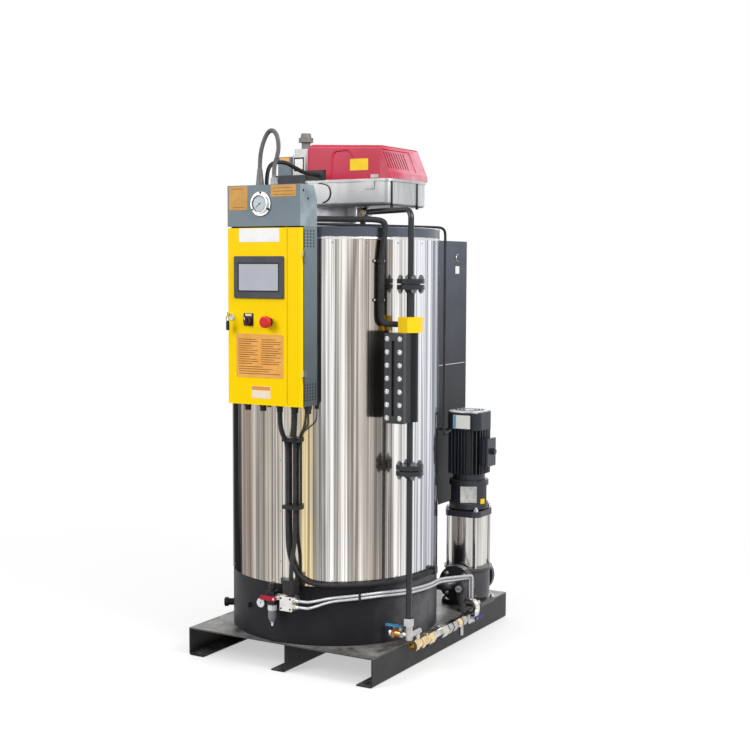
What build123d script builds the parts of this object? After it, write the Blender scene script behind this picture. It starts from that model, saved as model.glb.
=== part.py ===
# Vertical gas-fired steam boiler on a folded sheet skid, in millimetres.
# The boiler's axis is the Z axis, the floor is Z = 0 and the control cabinet faces -Y.
from build123d import *
from math import cos, radians, sin, sqrt, tan
import os

os.makedirs("parts", exist_ok=True)

# Clearances: seated parts, moving panels, pins in their bores
fit_gap = 0.3
door_gap = 5.0
pin_gap = 0.05

# Boiler body, from which the rest is set out
jacket_radius = 388.0
jacket_wall = 25.0
jacket_top = 1547.0
skirt_step = 2.0
skirt_wall = 6.0
skirt_top = 318.0
lid_height = 35.0
lid_round = 5.0

# Skid
skid_overhang = 6.0
skid_lead = 8.0
skid_tail = 316.0
skid_sheet = 5.0
skid_bend = 9.0
deck_top = 104.0
foot_width = 65.0
mid_foot_width = 62.0
mid_web_x = 36.0
anchor_radius = 7.0
anchor_inset_x = 38.0
anchor_inset_y = 40.0

# Control cabinet
cab_left = -126.5
cab_width = 300.0
cab_depth = 104.0
cab_stand = 15.0
cab_sheet = 2.0
door_lift = 26.0
door_height = 606.0
door_depth = 17.0
door_sheet = 3.0
box_height = 140.0

# Burner on the lid
neck_height = 78.0
neck_radius = 75.0
burner_left = -60.0
burner_right = 300.0
burner_front = -130.0
burner_back = 155.0
body_height = 95.0
hood_height = 125.0
hood_left = -47.0
hood_slope = 40.0

# Water level column beside the jacket
column_stand = 48.0
column_y = -215.0
pipe_radius = 10.5
riser_radius = 14.0
riser_height = 95.0
chamber_radius = 28.0
head_height = 53.0
gauge_height = 310.0
flange_radius = 48.0
flange_half = 18.0
flange_drop = 164.0
lower_drop = 169.0
steam_rise = 58.0

# Drain line along the right runner
drain_z = 104.0
drain_radius = 13.0

# Feed pump
pump_inset = 70.0
pump_set_back = 100.0
pump_base_height = 151.0
sleeve_height = 204.0
sleeve_radius = 73.0
head_thick = 24.0
lantern_height = 144.0
motor_height = 176.0
motor_half = 71.0
cowl_height = 75.0
port_rise = 96.0
port_half = 100.0

# Rear casing
casing_side = 119.0
casing_bottom = 490.0
casing_depth = 309.0

# Places that follow from the sizes above
lid_top = jacket_top + lid_height
skirt_radius = jacket_radius - skirt_step
skid_half = jacket_radius + skid_overhang
skid_front = -jacket_radius - skid_lead
skid_back = jacket_radius + skid_tail
cab_right = cab_left + cab_width
cab_back = -jacket_radius - cab_stand
cab_front = cab_back - cab_depth
door_top = jacket_top + door_lift
cab_bottom = door_top - door_height
box_bottom = door_top + door_gap
box_top = box_bottom + box_height
case_front = cab_front + door_depth + door_gap
burner_bottom = lid_top + neck_height
hood_bottom = burner_bottom + body_height
hood_top = hood_bottom + hood_height
column_x = jacket_radius + column_stand
upper_flange_z = jacket_top - flange_drop
head_top = upper_flange_z - flange_half - riser_height
gauge_top = head_top - head_height
gauge_bottom = gauge_top - gauge_height
lower_flange_z = gauge_bottom - lower_drop
steam_z = lid_top + steam_rise
pump_x = skid_half - pump_inset
pump_y = jacket_radius + pump_set_back
pump_base_top = deck_top + pump_base_height
sleeve_top = pump_base_top + sleeve_height
head_flange_top = sleeve_top + head_thick
lantern_top = head_flange_top + lantern_height
motor_top = lantern_top + motor_height
cowl_top = motor_top + cowl_height
port_z = deck_top + port_rise


def block(x0, x1, y0, y1, z0, z1):
    return Pos((x0 + x1) / 2, (y0 + y1) / 2, (z0 + z1) / 2) * Box(x1 - x0, y1 - y0, z1 - z0)


def soft_block(x0, x1, y0, y1, z0, z1, corner):
    pad = RectangleRounded(x1 - x0, y1 - y0, corner)
    return Pos((x0 + x1) / 2, (y0 + y1) / 2, z0) * extrude(pad, z1 - z0)


def rod_z(x, y, z0, z1, r):
    return Pos(x, y, (z0 + z1) / 2) * Cylinder(r, z1 - z0)


def rod_x(x0, x1, y, z, r):
    return Pos((x0 + x1) / 2, y, z) * Rot(0, 90, 0) * Cylinder(r, x1 - x0)


def rod_y(x, y0, y1, z, r):
    return Pos(x, (y0 + y1) / 2, z) * Rot(90, 0, 0) * Cylinder(r, y1 - y0)


def hex_z(x, y, z0, z1, r):
    return Pos(x, y, z0) * extrude(RegularPolygon(r, 6), z1 - z0)


def hex_y(x, y0, y1, z, r):
    return Pos(x, y1, z) * Rot(90, 0, 0) * extrude(RegularPolygon(r, 6), y1 - y0)


def hex_x(x0, x1, y, z, r):
    return Pos(x0, y, z) * Rot(0, 90, 0) * extrude(RegularPolygon(r, 6), x1 - x0)


def turned(x, y, z, *profile):
    # A turned part on an upright axis, from its (radius, height) outline
    face = make_face(Polyline((0, profile[0][1]), *profile, (0, profile[-1][1]), close=True))
    return Pos(x, y, z) * revolve(Plane.XZ * face, Axis.Z)


def folded(length, start, *points):
    # Bent sheet: its outer line in XZ, thickened inwards and run along Y
    section = make_face(offset(FilletPolyline(*points, radius=skid_bend), amount=skid_sheet,
                               side=Side.RIGHT, closed=True))
    return Pos(0, start, 0) * extrude(Plane.XZ * section, -length)


def on_shell(angle, r, z):
    return (r * sin(radians(angle)), -r * cos(radians(angle)), z)


def hose(points, bend, r):
    path = FilletPolyline(*points, radius=bend)
    return sweep(Plane(path @ 0, z_dir=path % 0) * Circle(r), path=path)


def free_cord(name, points, r):
    stops = [Vector(*p) for p in points]
    radii = []
    for a, b, c in zip(stops, stops[1:], stops[2:]):
        turn = (b - a).get_angle(c - b)
        radii.append(0.45 * min((b - a).length, (c - b).length) / tan(radians(turn / 2)))
    path = FilletPolyline(*points, radius=radii)
    print(name, "length %.0f" % path.length, "radii", ["%.0f" % q for q in radii])
    return sweep(Plane(path @ 0, z_dir=path % 0) * Circle(r), path=path)


def save(name, shape):
    export_step(shape, "parts/%s.step" % name)


# Skid: a flat deck on three folded runners, open underneath for forks
runner_top = deck_top - skid_sheet
skid_length = skid_back - skid_front
save("deck_plate", block(-skid_half, skid_half, skid_front, skid_back, runner_top, deck_top))
right_runner = folded(skid_length, skid_front, (skid_half, runner_top), (skid_half, 0),
                      (skid_half - foot_width, 0))
for y in (skid_front + anchor_inset_y, skid_back - anchor_inset_y):
    right_runner -= rod_z(skid_half - anchor_inset_x, y, -1, skid_sheet + 1, anchor_radius)
save("left_runner", mirror(right_runner, about=Plane.YZ))
save("middle_runner", folded(skid_length, skid_front, (mid_web_x, runner_top), (mid_web_x, 0),
                             (mid_web_x - mid_foot_width, 0)))

# Boiler body: base skirt with a capped stub and a plug, insulated jacket and lid
stub_angle = -60.0
stub_rise = 61.0
stub_radius = 13.0
stub_reach = 38.0
boss_angle = -22.0
boss_rise = 110.0
boss_radius = 9.0
boss_reach = 12.0
skirt = rod_z(0, 0, deck_top, skirt_top, skirt_radius)
skirt -= rod_z(0, 0, deck_top - 1, skirt_top + 1, skirt_radius - skirt_wall)
stub_in = -skirt_radius + skirt_wall / 2
skirt += Rot(0, 0, stub_angle) * rod_y(0, -skirt_radius - stub_reach, stub_in, deck_top + stub_rise,
                                       stub_radius)
skirt += Rot(0, 0, stub_angle) * hex_y(0, -skirt_radius - stub_reach + 2, -skirt_radius - stub_reach + 16,
                                       deck_top + stub_rise, stub_radius + 5)
skirt += Rot(0, 0, boss_angle) * rod_y(0, -skirt_radius - boss_reach, stub_in, deck_top + boss_rise,
                                       boss_radius)
save("base_skirt", skirt)
jacket = rod_z(0, 0, skirt_top, jacket_top, jacket_radius)
jacket -= rod_z(0, 0, skirt_top - 1, jacket_top + 1, jacket_radius - jacket_wall)
save("cladding", jacket)
lid = rod_z(0, 0, jacket_top, lid_top, jacket_radius)
lid = fillet(lid.edges().group_by(Axis.Z)[-1], lid_round)
save("top_lid", lid)
shell_cut = rod_z(0, 0, deck_top, lid_top, jacket_radius + fit_gap)
skirt_cut = rod_z(0, 0, deck_top - 1, skirt_top + 1, skirt_radius + fit_gap)

# Control cabinet case on two rails, with its mounting plate
plate_thick = 3.0
plate_side = 20.0
plate_end = 40.0
rail_inset = 50.0
rail_width = 30.0
rail_end = 33.0
case = block(cab_left, cab_right, case_front, cab_back, cab_bottom, box_bottom)
case -= block(cab_left + cab_sheet, cab_right - cab_sheet, case_front - 1, cab_back - cab_sheet,
              cab_bottom + cab_sheet, box_bottom - cab_sheet)
case += block(cab_left + plate_side, cab_right - plate_side, cab_back - cab_sheet - plate_thick, cab_back,
              cab_bottom + plate_end, box_bottom - plate_end)
rails = None
for x in (cab_left + rail_inset, cab_right - rail_inset - rail_width):
    rail = block(x, x + rail_width, cab_back, -jacket_radius + 2 * jacket_wall, cab_bottom + rail_end,
                 door_top - rail_end)
    rails = rail if rails is None else rails + rail
save("cabinet_rails", rails - shell_cut)

# Instrument box above the door, its rear top edge cut back, with a flush pressure dial
box_cut_depth = 22.0
box_cut_height = 45.0
dial_x = cab_left + 141.5
dial_z = box_bottom + 76.0
dial_flange = 41.0
dial_bezel = 33.0
dial_recess = 29.0
box_profile = Polyline((cab_front, box_bottom), (cab_back, box_bottom),
                       (cab_back, box_top - box_cut_height),
                       (cab_back - box_cut_depth, box_top), (cab_front, box_top), close=True)
inst_box = Pos(cab_left, 0, 0) * extrude(Plane.YZ * make_face(box_profile), cab_width)
save("instrument_box", inst_box)
dial = rod_y(dial_x, cab_front - 6, cab_front, dial_z, dial_flange)
dial += rod_y(dial_x, cab_front - 14, cab_front - 6, dial_z, dial_bezel)
dial = fillet(dial.edges().filter_by(GeomType.CIRCLE).group_by(Axis.Y)[0], 2)
dial -= rod_y(dial_x, cab_front - 15, cab_front - 10, dial_z, dial_recess)
save("pressure_gauge", dial)

# Door: a folded pan with a shallow upright groove and the panel cut-out
door_bend = 2.0
groove_inset = 55.5
groove_width = 7.0
groove_depth = 1.2
panel_x = cab_left + 131.5
panel_z = door_top - 168.0
panel_wide = 206.0
panel_high = 144.0
panel_rim = 7.0
panel_proud = 6.0
panel_deep = 38.0
panel_corner = 5.0
screen_wide = 172.0
screen_high = 100.0
door = block(cab_left, cab_right, cab_front, cab_front + door_depth, cab_bottom, door_top)
door = fillet(door.edges().filter_by(Axis.Z).group_by(Axis.Y)[0], door_bend)
door -= block(cab_left + door_sheet, cab_right - door_sheet, cab_front + door_sheet,
              cab_front + door_depth + 1, cab_bottom + door_sheet, door_top - door_sheet)
door -= block(cab_right - groove_inset, cab_right - groove_inset + groove_width, cab_front - 1,
              cab_front + groove_depth, cab_bottom - 1, door_top + 1)
cut_wide = panel_wide / 2 - panel_rim
cut_high = panel_high / 2 - panel_rim
door -= block(panel_x - cut_wide - 1, panel_x + cut_wide + 1, cab_front - 1, cab_front + door_sheet + 1,
              panel_z - cut_high - 1, panel_z + cut_high + 1)
save("cabinet_door", door)
bezel = block(panel_x - panel_wide / 2, panel_x + panel_wide / 2, cab_front - panel_proud, cab_front,
              panel_z - panel_high / 2, panel_z + panel_high / 2)
bezel = fillet(bezel.edges().filter_by(Axis.Y), panel_corner)
bezel = chamfer(bezel.faces().sort_by(Axis.Y)[0].edges(), 1.5)
bezel -= block(panel_x - screen_wide / 2, panel_x + screen_wide / 2, cab_front - panel_proud - 1,
               cab_front - panel_proud + 1.5, panel_z - screen_high / 2, panel_z + screen_high / 2)
bezel += block(panel_x - cut_wide, panel_x + cut_wide, cab_front, cab_front + panel_deep,
               panel_z - cut_high, panel_z + cut_high)
save("touch_panel", bezel)

# Lift-off hinges: lower knuckle and pin on the case, upper knuckle on the door
hinge_x = cab_right + 6.0
hinge_y = (cab_front + door_depth + case_front) / 2
knuckle_radius = 5.0
hinge_pin_radius = 2.5
leaf = 3.0
knuckle = 19.0
knuckle_gap = 0.25
leaf_reach = 24.0
case_leaves = None
door_leaves = None
for z in (cab_bottom + 84.0, door_top - 117.0):
    low = rod_z(hinge_x, hinge_y, z, z + knuckle - knuckle_gap, knuckle_radius)
    low += block(cab_right, cab_right + leaf, hinge_y, case_front + leaf_reach, z,
                 z + knuckle - knuckle_gap)
    low += rod_z(hinge_x, hinge_y, z + 5, z + 2 * knuckle - 2, hinge_pin_radius)
    low -= block(cab_right - 1, cab_right + leaf + 1, hinge_y - 5, case_front, z - 1, z + knuckle + 1)
    low += block(cab_right + 1, hinge_x, hinge_y - 1.5, case_front + 2, z, z + knuckle - knuckle_gap)
    top = rod_z(hinge_x, hinge_y, z + knuckle + knuckle_gap, z + 2 * knuckle, knuckle_radius)
    top += block(cab_right, cab_right + leaf, cab_front + 3, cab_front + door_depth,
                 z + knuckle + knuckle_gap, z + 2 * knuckle)
    top += block(cab_right, hinge_x, cab_front + door_depth - 4, cab_front + door_depth,
                 z + knuckle + knuckle_gap, z + 2 * knuckle)
    top -= rod_z(hinge_x, hinge_y, z + knuckle - 1, z + 2 * knuckle - 1, hinge_pin_radius + pin_gap)
    case_leaves = low if case_leaves is None else case_leaves + low
    door_leaves = top if door_leaves is None else door_leaves + top
save("cabinet_case", case + case_leaves)

# Door fittings: cam lock, selector switch and emergency stop
lock_x = cab_left + 16.5
lock_z = panel_z - panel_high / 2 - 65.0
lock_radius = 11.0
lock = rod_y(lock_x, cab_front - 6, cab_front, lock_z, lock_radius)
lock = chamfer(lock.edges().filter_by(GeomType.CIRCLE).group_by(Axis.Y)[0], 2)
lock -= block(lock_x - 1.5, lock_x + 1.5, cab_front - 7, cab_front - 3, lock_z - 7, lock_z + 7)
save("door_hardware", door_leaves + lock)
knob_x = cab_left + 87.5
knob_z = lock_z - 12.0
knob_radius = 14.0
knob_stem = 7.0
legend_half = 20.0
legend_low = 18.0
legend_high = 26.0
legend = block(knob_x - legend_half, knob_x + legend_half, cab_front - 2, cab_front, knob_z - legend_low,
               knob_z + legend_high)
legend = fillet(legend.edges().filter_by(Axis.Y), 3)
legend += rod_y(knob_x, cab_front - 8, cab_front - 2, knob_z, knob_stem)
knob = rod_y(knob_x, cab_front - 16, cab_front - 5, knob_z, knob_radius)
knob = chamfer(knob.edges().filter_by(GeomType.CIRCLE).group_by(Axis.Y)[0], 2)
knob -= rod_y(knob_x, cab_front - 9, cab_front - 4, knob_z, knob_stem + pin_gap)
grip = block(knob_x - 3.5, knob_x + 3.5, cab_front - 26, cab_front - 15, knob_z - 13, knob_z + 13)
knob += fillet(grip.edges().filter_by(Axis.X).group_by(Axis.Y)[0], 5)
save("selector_knob", knob)
stop_x = cab_left + 173.5
stop_z = knob_z - 2.0
stop_radius = 20.5
stop_stem = 9.0
collar_radius = 15.0
collar = rod_y(stop_x, cab_front - 10, cab_front, stop_z, collar_radius)
collar -= rod_y(stop_x, cab_front - 11, cab_front - 1, stop_z, stop_stem + pin_gap)
save("switch_bases", legend + collar)
button = rod_y(stop_x, cab_front - 34, cab_front - 20, stop_z, stop_radius)
button = fillet(button.edges().group_by(Axis.Y)[0], 5)
button += rod_y(stop_x, cab_front - 20, cab_front - 7, stop_z, stop_stem)
save("e_stop_button", button)

# Cable glands under the case: hex lock nut and domed cap
gland_y = cab_back - 37.0
gland_nut = 12.0
gland_length = 28.0
gland_low = cab_bottom - gland_length
gland_xs = [cab_left + x for x in (35.5, 100.5, 170.5, 234.5, 287.5)]
glands = None
for x in gland_xs:
    g = hex_z(x, gland_y, cab_bottom - gland_nut, cab_bottom, 15)
    g += rod_z(x, gland_y, gland_low, cab_bottom - gland_nut, 11)
    glands = g if glands is None else glands + g

# Front looms: corrugated cable tubes and one thin lead from the glands down the jacket
loom_r = 9.0
coil_loom_r = 8.0
thin_r = 3.5
loom_axis = jacket_radius + loom_r + 1
loom_foot = skirt_top + 8
loom_bend = 24.0
left_x = 46.0
mid_x = 74.0
thin_x = 91.0
left_y = -sqrt(loom_axis ** 2 - left_x ** 2)
mid_y = -sqrt(loom_axis ** 2 - mid_x ** 2)
thin_y = -sqrt((jacket_radius + thin_r + 2) ** 2 - thin_x ** 2)
loom_end = 95.0
upper_clamp = cab_bottom - 129
lower_clamp = skirt_top + 282
clamp_half = 7.0
bend_top = cab_bottom - 87
bend_low = cab_bottom - 152
swing_z = skirt_top + 152
left_path = [(gland_xs[2], gland_y, gland_low), (gland_xs[2], gland_y, bend_top),
             (left_x, left_y, bend_low),
             (left_x, left_y, swing_z), on_shell(15, loom_axis + 2, loom_foot + 2)]
left_path += [on_shell(a, loom_axis / cos(radians(10)), loom_foot) for a in (25, 45, 65, 85)]
left_path += [on_shell(loom_end, loom_axis, loom_foot)]
set_y = -jacket_radius - 40
coil_top = skirt_top + 33
coil_x = 82.0
right_path = [(gland_xs[3], gland_y, gland_low), (gland_xs[3], gland_y, bend_top + 5),
              (mid_x, mid_y, bend_low),
              (mid_x, mid_y, swing_z), (coil_x, set_y, swing_z - 50), (coil_x, set_y, coil_top)]
thin_path = [(gland_xs[4], gland_y, gland_low), (gland_xs[4], gland_y, bend_top + 20),
             (thin_x, thin_y, upper_clamp + 22), (thin_x, thin_y, lower_clamp)]
save("front_looms", hose(left_path, loom_bend, loom_r) + hose(right_path, loom_bend, coil_loom_r)
     + hose(thin_path, loom_bend, thin_r))
clamps = None
for z in (lower_clamp, upper_clamp):
    strap = block(left_x - 16, thin_x + 9, -loom_axis - 15, -jacket_radius + 18, z - clamp_half,
                  z + clamp_half)
    strap = fillet(strap.edges().filter_by(Axis.Z).group_by(Axis.Y)[0], 6)
    clamps = strap if clamps is None else clamps + strap
clamps += Rot(0, 0, loom_end + 2) * block(-13.6, 13.6, -jacket_radius - 22, -jacket_radius + 8,
                                          loom_foot - 13, loom_foot + 13)
clamps -= shell_cut
clamps -= hose(left_path, loom_bend, loom_r + fit_gap)
clamps -= hose(right_path, loom_bend, coil_loom_r + fit_gap)
clamps -= hose(thin_path, loom_bend, thin_r + fit_gap)
save("cable_fittings", glands + clamps)

# Air set on the skirt: filter regulator with a dial and a bowl, shut-off, solenoid valve and coil
reg_x = 2.0
reg_half = 17.0
reg_low = skirt_top - 66
reg_top = skirt_top - 18
air_dial_x = reg_x - 36
air_dial_z = reg_low + 4
air_dial_radius = 19.0
regulator = soft_block(reg_x - reg_half, reg_x + reg_half, set_y - reg_half, set_y + reg_half, reg_low,
                       reg_top, 5)
regulator += turned(reg_x, set_y, reg_top, (10, 0), (10, 6), (13, 8), (13, 26), (11, 30))
regulator += rod_x(air_dial_x + 4, reg_x, set_y - 6, reg_low + 10, 5)
regulator += rod_y(air_dial_x, set_y - 20, set_y - 6, air_dial_z, air_dial_radius)
bracket = block(reg_x - 12, reg_x + 12, set_y + reg_half, -skirt_radius + 16, reg_low + 10, reg_top - 8)
save("air_regulator", regulator + (bracket - skirt_cut))
bowl_height = 78.0
save("regulator_bowl", turned(reg_x, set_y, reg_low - bowl_height, (4, 0), (4, 9), (7, 12), (13, 24),
                              (15, 32),
                              (15, bowl_height)))
valve_x0 = 46.0
valve_x1 = 98.0
valve_half = 22.0
valve_low = skirt_top - 78
valve_top = skirt_top - 26
shut_x = 31.0
shut_z = skirt_top - 38
shut_stem = 4.0
lever_wide = 8.0
lever_front = set_y - 36
lever_back = set_y - 30
shut_off = rod_x(reg_x + reg_half, valve_x0, set_y, shut_z, 9) + hex_x(shut_x - 9, shut_x + 9, set_y,
                                                                       shut_z, 13)
shut_off += rod_y(shut_x, lever_front - 1, set_y, shut_z, shut_stem)
lever = block(air_dial_x + 7, shut_x, lever_front, lever_back, shut_z - lever_wide, shut_z + lever_wide)
lever = fillet(lever.edges().filter_by(Axis.Y).group_by(Axis.X)[0], 5)
lever += rod_y(shut_x, lever_front, lever_back, shut_z, lever_wide + 1)
lever -= rod_y(shut_x, lever_front - 4, lever_back + 5, shut_z, shut_stem + pin_gap)
save("air_lever", lever)
port_zs = (skirt_top - 42, skirt_top - 64)
port_reach = 16.0
solenoid = soft_block(valve_x0, valve_x1, set_y - valve_half, set_y + valve_half, valve_low, valve_top, 4)
for z in port_zs:
    solenoid += rod_x(valve_x1, valve_x1 + port_reach, set_y, z, 7) + hex_x(valve_x1, valve_x1 + 7, set_y,
                                                                            z, 10)
bracket = block(valve_x0 + 14, valve_x1 - 14, set_y + valve_half, -skirt_radius + 26, valve_low + 12,
                valve_top - 10)
save("solenoid_valve", solenoid + (bracket - skirt_cut) + shut_off)
coil = soft_block(coil_x - 22, coil_x + 22, set_y - 24, set_y + 20, valve_top + 8, coil_top, 5)
coil += rod_z(coil_x, set_y, valve_top, valve_top + 8, 14)
save("solenoid_coil", coil)

# Burner: flanged neck, cast body with rims and a latch, hood with vent slots and an arched bead
neck_flange = 110.0
body_corner = 22.0
rim_proud = 4.0
rim_high = 9.0
latch_x = burner_right - 78
latch_wide = 36.0
save("burner_neck", turned(0, 0, lid_top, (neck_flange, 0), (neck_flange, 14), (neck_radius + 8, 14),
                           (neck_radius, 24),
                           (neck_radius, neck_height)))
body = soft_block(burner_left, burner_right, burner_front, burner_back, burner_bottom, hood_bottom,
                  body_corner)
body = fillet(body.edges().group_by(Axis.Z)[0], 12)
body += soft_block(burner_left, burner_right + rim_proud, burner_front - rim_proud, burner_back + rim_proud,
                   hood_bottom - rim_high, hood_bottom, body_corner)
body += block(latch_x - latch_wide / 2, latch_x + latch_wide / 2, burner_front - rim_proud,
              burner_front + 1,
              hood_bottom - 36, hood_bottom - rim_high)
save("burner_body", body)
slope_foot = 24.0
hood_fall = 14.0
hood_round = 24.0
hood_edge = 12.0
crown = hood_top + hood_fall / 2
brow = hood_top - hood_fall / 2
hood_profile = Polyline((hood_left, hood_bottom), (burner_right, hood_bottom),
                        (burner_right, hood_bottom + slope_foot), (burner_right - hood_slope, brow),
                        (hood_left, crown), close=True)
hood = Pos(0, burner_back, 0) * extrude(Plane.XZ * make_face(hood_profile), burner_back - burner_front)
hood = fillet(hood.edges().filter_by(Axis.Y).group_by(Axis.X)[0].sort_by(Axis.Z)[-1:], hood_round)
top_edges = hood.edges().filter_by(lambda e: e.length > 200 and e.center().Z > brow
                                   and abs(e.tangent_at(0.5).X) > 0.9)
hood = fillet(top_edges, hood_edge)
lip_deep = 26.0
hood += soft_block(burner_right - lip_deep, burner_right + rim_proud, burner_front,
                   burner_back + rim_proud, hood_bottom,
                   hood_bottom + slope_foot - 3, 8)
slope_run = brow - hood_bottom - slope_foot
slope_length = sqrt(hood_slope ** 2 + slope_run ** 2)
slot_count = 9
slot_pitch = 18.0
slot_wide = 6.0
slot_long = 64.0
vent_y = burner_front + 108
slope = Plane(origin=(burner_right - hood_slope / 2, vent_y, hood_bottom + slope_foot + slope_run / 2 - 4),
              x_dir=(0, 1, 0), z_dir=(slope_run / slope_length, 0, hood_slope / slope_length))
vent_panel = slope * Box(slot_count * slot_pitch + 40, slot_long + 18, 5)
hood -= vent_panel
for i in range(slot_count):
    hood -= slope * Pos((i - slot_count / 2 - 0.5) * slot_pitch, 0, 0) * Box(slot_wide, slot_long, 36)
bead_sunk = 2.0
bead_radius = 5.0
bead_left = hood_left + 109
bead_right = hood_left + 207
bead_y = burner_front + bead_sunk
bead_line = [(bead_left, bead_y, hood_bottom + 8), (bead_left + 6, bead_y, hood_top - 22),
             (bead_right - 24, bead_y, hood_top - 18), (bead_right - 8, bead_y, hood_bottom + 80)]
hood += hose(bead_line, 20, bead_radius)
plug_left = hood_left + 5
plug_right = hood_left + 81
plug_top = hood_bottom + 37
plug_back = burner_front + 38
hood -= block(hood_left - 1, plug_right + 2, burner_front - 1, plug_back + fit_gap, hood_bottom - 1,
              plug_top + fit_gap)
save("burner_hood", hood)

# Gas valve train: pipe with a filter body and couplings, valve with its actuator, pressure switch
gas_y = 60.0
gas_z = burner_bottom + 52
gas_radius = 21.0
gas_bore = 16.0
gas_bore_depth = 29.0
gas_end = burner_left - 270
filter_x0 = gas_end + 30
filter_x1 = gas_end + 180
filter_half = 36.0
filter_top = gas_z + 78
gas_pipe = rod_x(gas_end, burner_left, gas_y, gas_z, gas_radius)
filter_body = block(filter_x0, filter_x1, gas_y - filter_half, gas_y + filter_half, gas_z - 30, filter_top)
gas_pipe += fillet(filter_body.edges().filter_by(Axis.X).group_by(Axis.Z)[0], 20)
gas_pipe += hex_x(filter_x1, filter_x1 + 34, gas_y, gas_z, 30)
gas_pipe += rod_x(burner_left - 14, burner_left, gas_y, gas_z, 34)
gas_pipe -= rod_x(gas_end - 1, gas_end + gas_bore_depth, gas_y, gas_z, gas_bore)
save("gas_pipe", gas_pipe)
valve_left = filter_x1 - 62
gas_valve = soft_block(valve_left, filter_x1, gas_y - filter_half, gas_y + filter_half, filter_top,
                       filter_top + 76, 6)
gas_valve += soft_block(valve_left + 6, filter_x1, gas_y - 30, gas_y + 30, filter_top + 76,
                        filter_top + 98, 5)
gas_valve += turned(filter_x1 - 22, gas_y, filter_top + 98, (17, 0), (17, 24), (28, 26), (28, 43),
                    (21, 45), (18.5, 60))
switch_box = soft_block(filter_x0 + 18, valve_left - 2, gas_y - 34, gas_y + 34, filter_top,
                        filter_top + 70, 8)
save("gas_controls", gas_valve + switch_box)

# Conduits above the cabinet: glands, the free loop and the free lead to the burner plug
boot_x = cab_left + 96.5
gland_x = cab_left + 155.5
loop_y = cab_back - 47
boot_height = 60.0
loop_r = 8.0
boot = Pos(boot_x, loop_y, box_top + boot_height / 2) * Cone(15, loop_r + 0.5, boot_height)
metal_gland = hex_z(gland_x, loop_y, box_top, box_top + 26, 14) + rod_z(gland_x, loop_y, box_top + 26,
                                                                        box_top + 36, 8)
save("conduit_glands", boot + metal_gland)
loop_points = [(boot_x, loop_y, box_top + boot_height), (boot_x, loop_y, box_top + 97),
               (boot_x + 12, loop_y, box_top + 146),
               (boot_x + 36, loop_y + 2, box_top + 190), (boot_x + 66, loop_y + 1, box_top + 184),
               (boot_x + 80, loop_y - 1, box_top + 140), (boot_x + 74, loop_y, box_top + 102),
               (gland_x, loop_y, box_top + 69), (gland_x, loop_y, box_top + 36)]
save("conduit_loop", free_cord("conduit_loop", loop_points, loop_r))
save("burner_plug", soft_block(plug_left, plug_right, burner_front - 8, plug_back, hood_bottom, plug_top,
                               6))
lead_x = cab_left + 104.5
lead_y = cab_back - 18
plug_face = burner_front - 8
plug_z = hood_bottom + 20
lead_points = [(lead_x, lead_y, box_top), (lead_x, lead_y, box_top + 44),
               (lead_x + 8, lead_y + 15, box_top + 82),
               (lead_x + 34, lead_y + 59, box_top + 88), (lead_x + 32, lead_y + 121, box_top + 74),
               (4, plug_face - 102, plug_z + 5), (0, plug_face - 48, plug_z), (0, plug_face, plug_z)]
save("burner_lead", free_cord("burner_lead", lead_points, 7.5))


# Clipped leads: the gauge hose down the jacket to the level head, the pump lead to the rear casing
def level_head_shape(grow):
    prism = extrude(RegularPolygon(45 + 1.2 * grow, 6), head_height)
    return Pos(column_x, column_y, gauge_top) * Rot(0, 0, 45) * prism


hose_r = 11.0
hose_out = jacket_radius + 19
hose_angle = 54.2
hose_z = box_bottom + 28
head_z = gauge_top + 27
gauge_hose = hose([(cab_left + 276.5, cab_back, hose_z), (cab_left + 276.5, cab_back + 37, hose_z),
                   on_shell(hose_angle + 2.4, hose_out + 3, hose_z), on_shell(hose_angle, hose_out,
                                                                              upper_flange_z + 80),
                   on_shell(hose_angle, hose_out, head_z), (column_x - 30, column_y, head_z)], 26, hose_r)
gauge_hose -= level_head_shape(fit_gap)
pump_lead_r = 5.0
pump_lead_z = lid_top + 8
pump_lead_low = motor_top + 3
casing_half = pump_x - casing_side
casing_back = jacket_radius + casing_depth
pump_drop = on_shell(120.6, jacket_radius + 21, pump_lead_z)
pump_lead = hose([(cab_left + 226.5, cab_back, pump_lead_z),
                  (cab_left + 226.5, cab_back + 35, pump_lead_z), pump_drop,
                  (pump_drop[0], pump_drop[1], pump_lead_low), (pump_drop[0] - 62, jacket_radius + 8,
                                                                pump_lead_low),
                  (casing_half, jacket_radius + 8, pump_lead_low)], 16, pump_lead_r)
save("side_leads", gauge_hose + pump_lead)

# Water level column: steam pipe, bolted flange pairs with weld necks, chamber, gauge and head
elbow_x = 140.0
elbow_y = -40.0
raised_face = 34.0
nut_bottom = drain_z + 82
nut_top = drain_z + 108
steam = hose([(elbow_x, elbow_y, lid_top), (elbow_x, elbow_y, steam_z), (column_x, column_y, steam_z),
              (column_x, column_y, upper_flange_z + flange_half)], 32, pipe_radius)
save("steam_pipe", steam)
pipes = rod_z(column_x, column_y, head_top, upper_flange_z - flange_half, riser_radius)
pipes += rod_z(column_x, column_y, lower_flange_z + flange_half, gauge_bottom, pipe_radius)
pipes += rod_z(column_x, column_y, nut_top, lower_flange_z - flange_half, pipe_radius)
for z in (upper_flange_z, lower_flange_z):
    pipes += rod_z(column_x, column_y, z - flange_half, z - 2, flange_radius)
    pipes += rod_z(column_x, column_y, z - 2, z + 2, raised_face)
    pipes += rod_z(column_x, column_y, z + 2, z + flange_half, flange_radius)
    pipes += Pos(column_x, column_y, z - flange_half - 6) * Cone(riser_radius + 1, riser_radius + 10, 12)
save("column_pipes", pipes)
save("level_head", level_head_shape(0))
cover_left = column_x - 53
cover_right = column_x + 21
cover_front = column_y - 90
cover_back = column_y - 68
slot_x = (cover_left + cover_right) / 2
slot_half = 8.0
slot_end = 26.0
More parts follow.
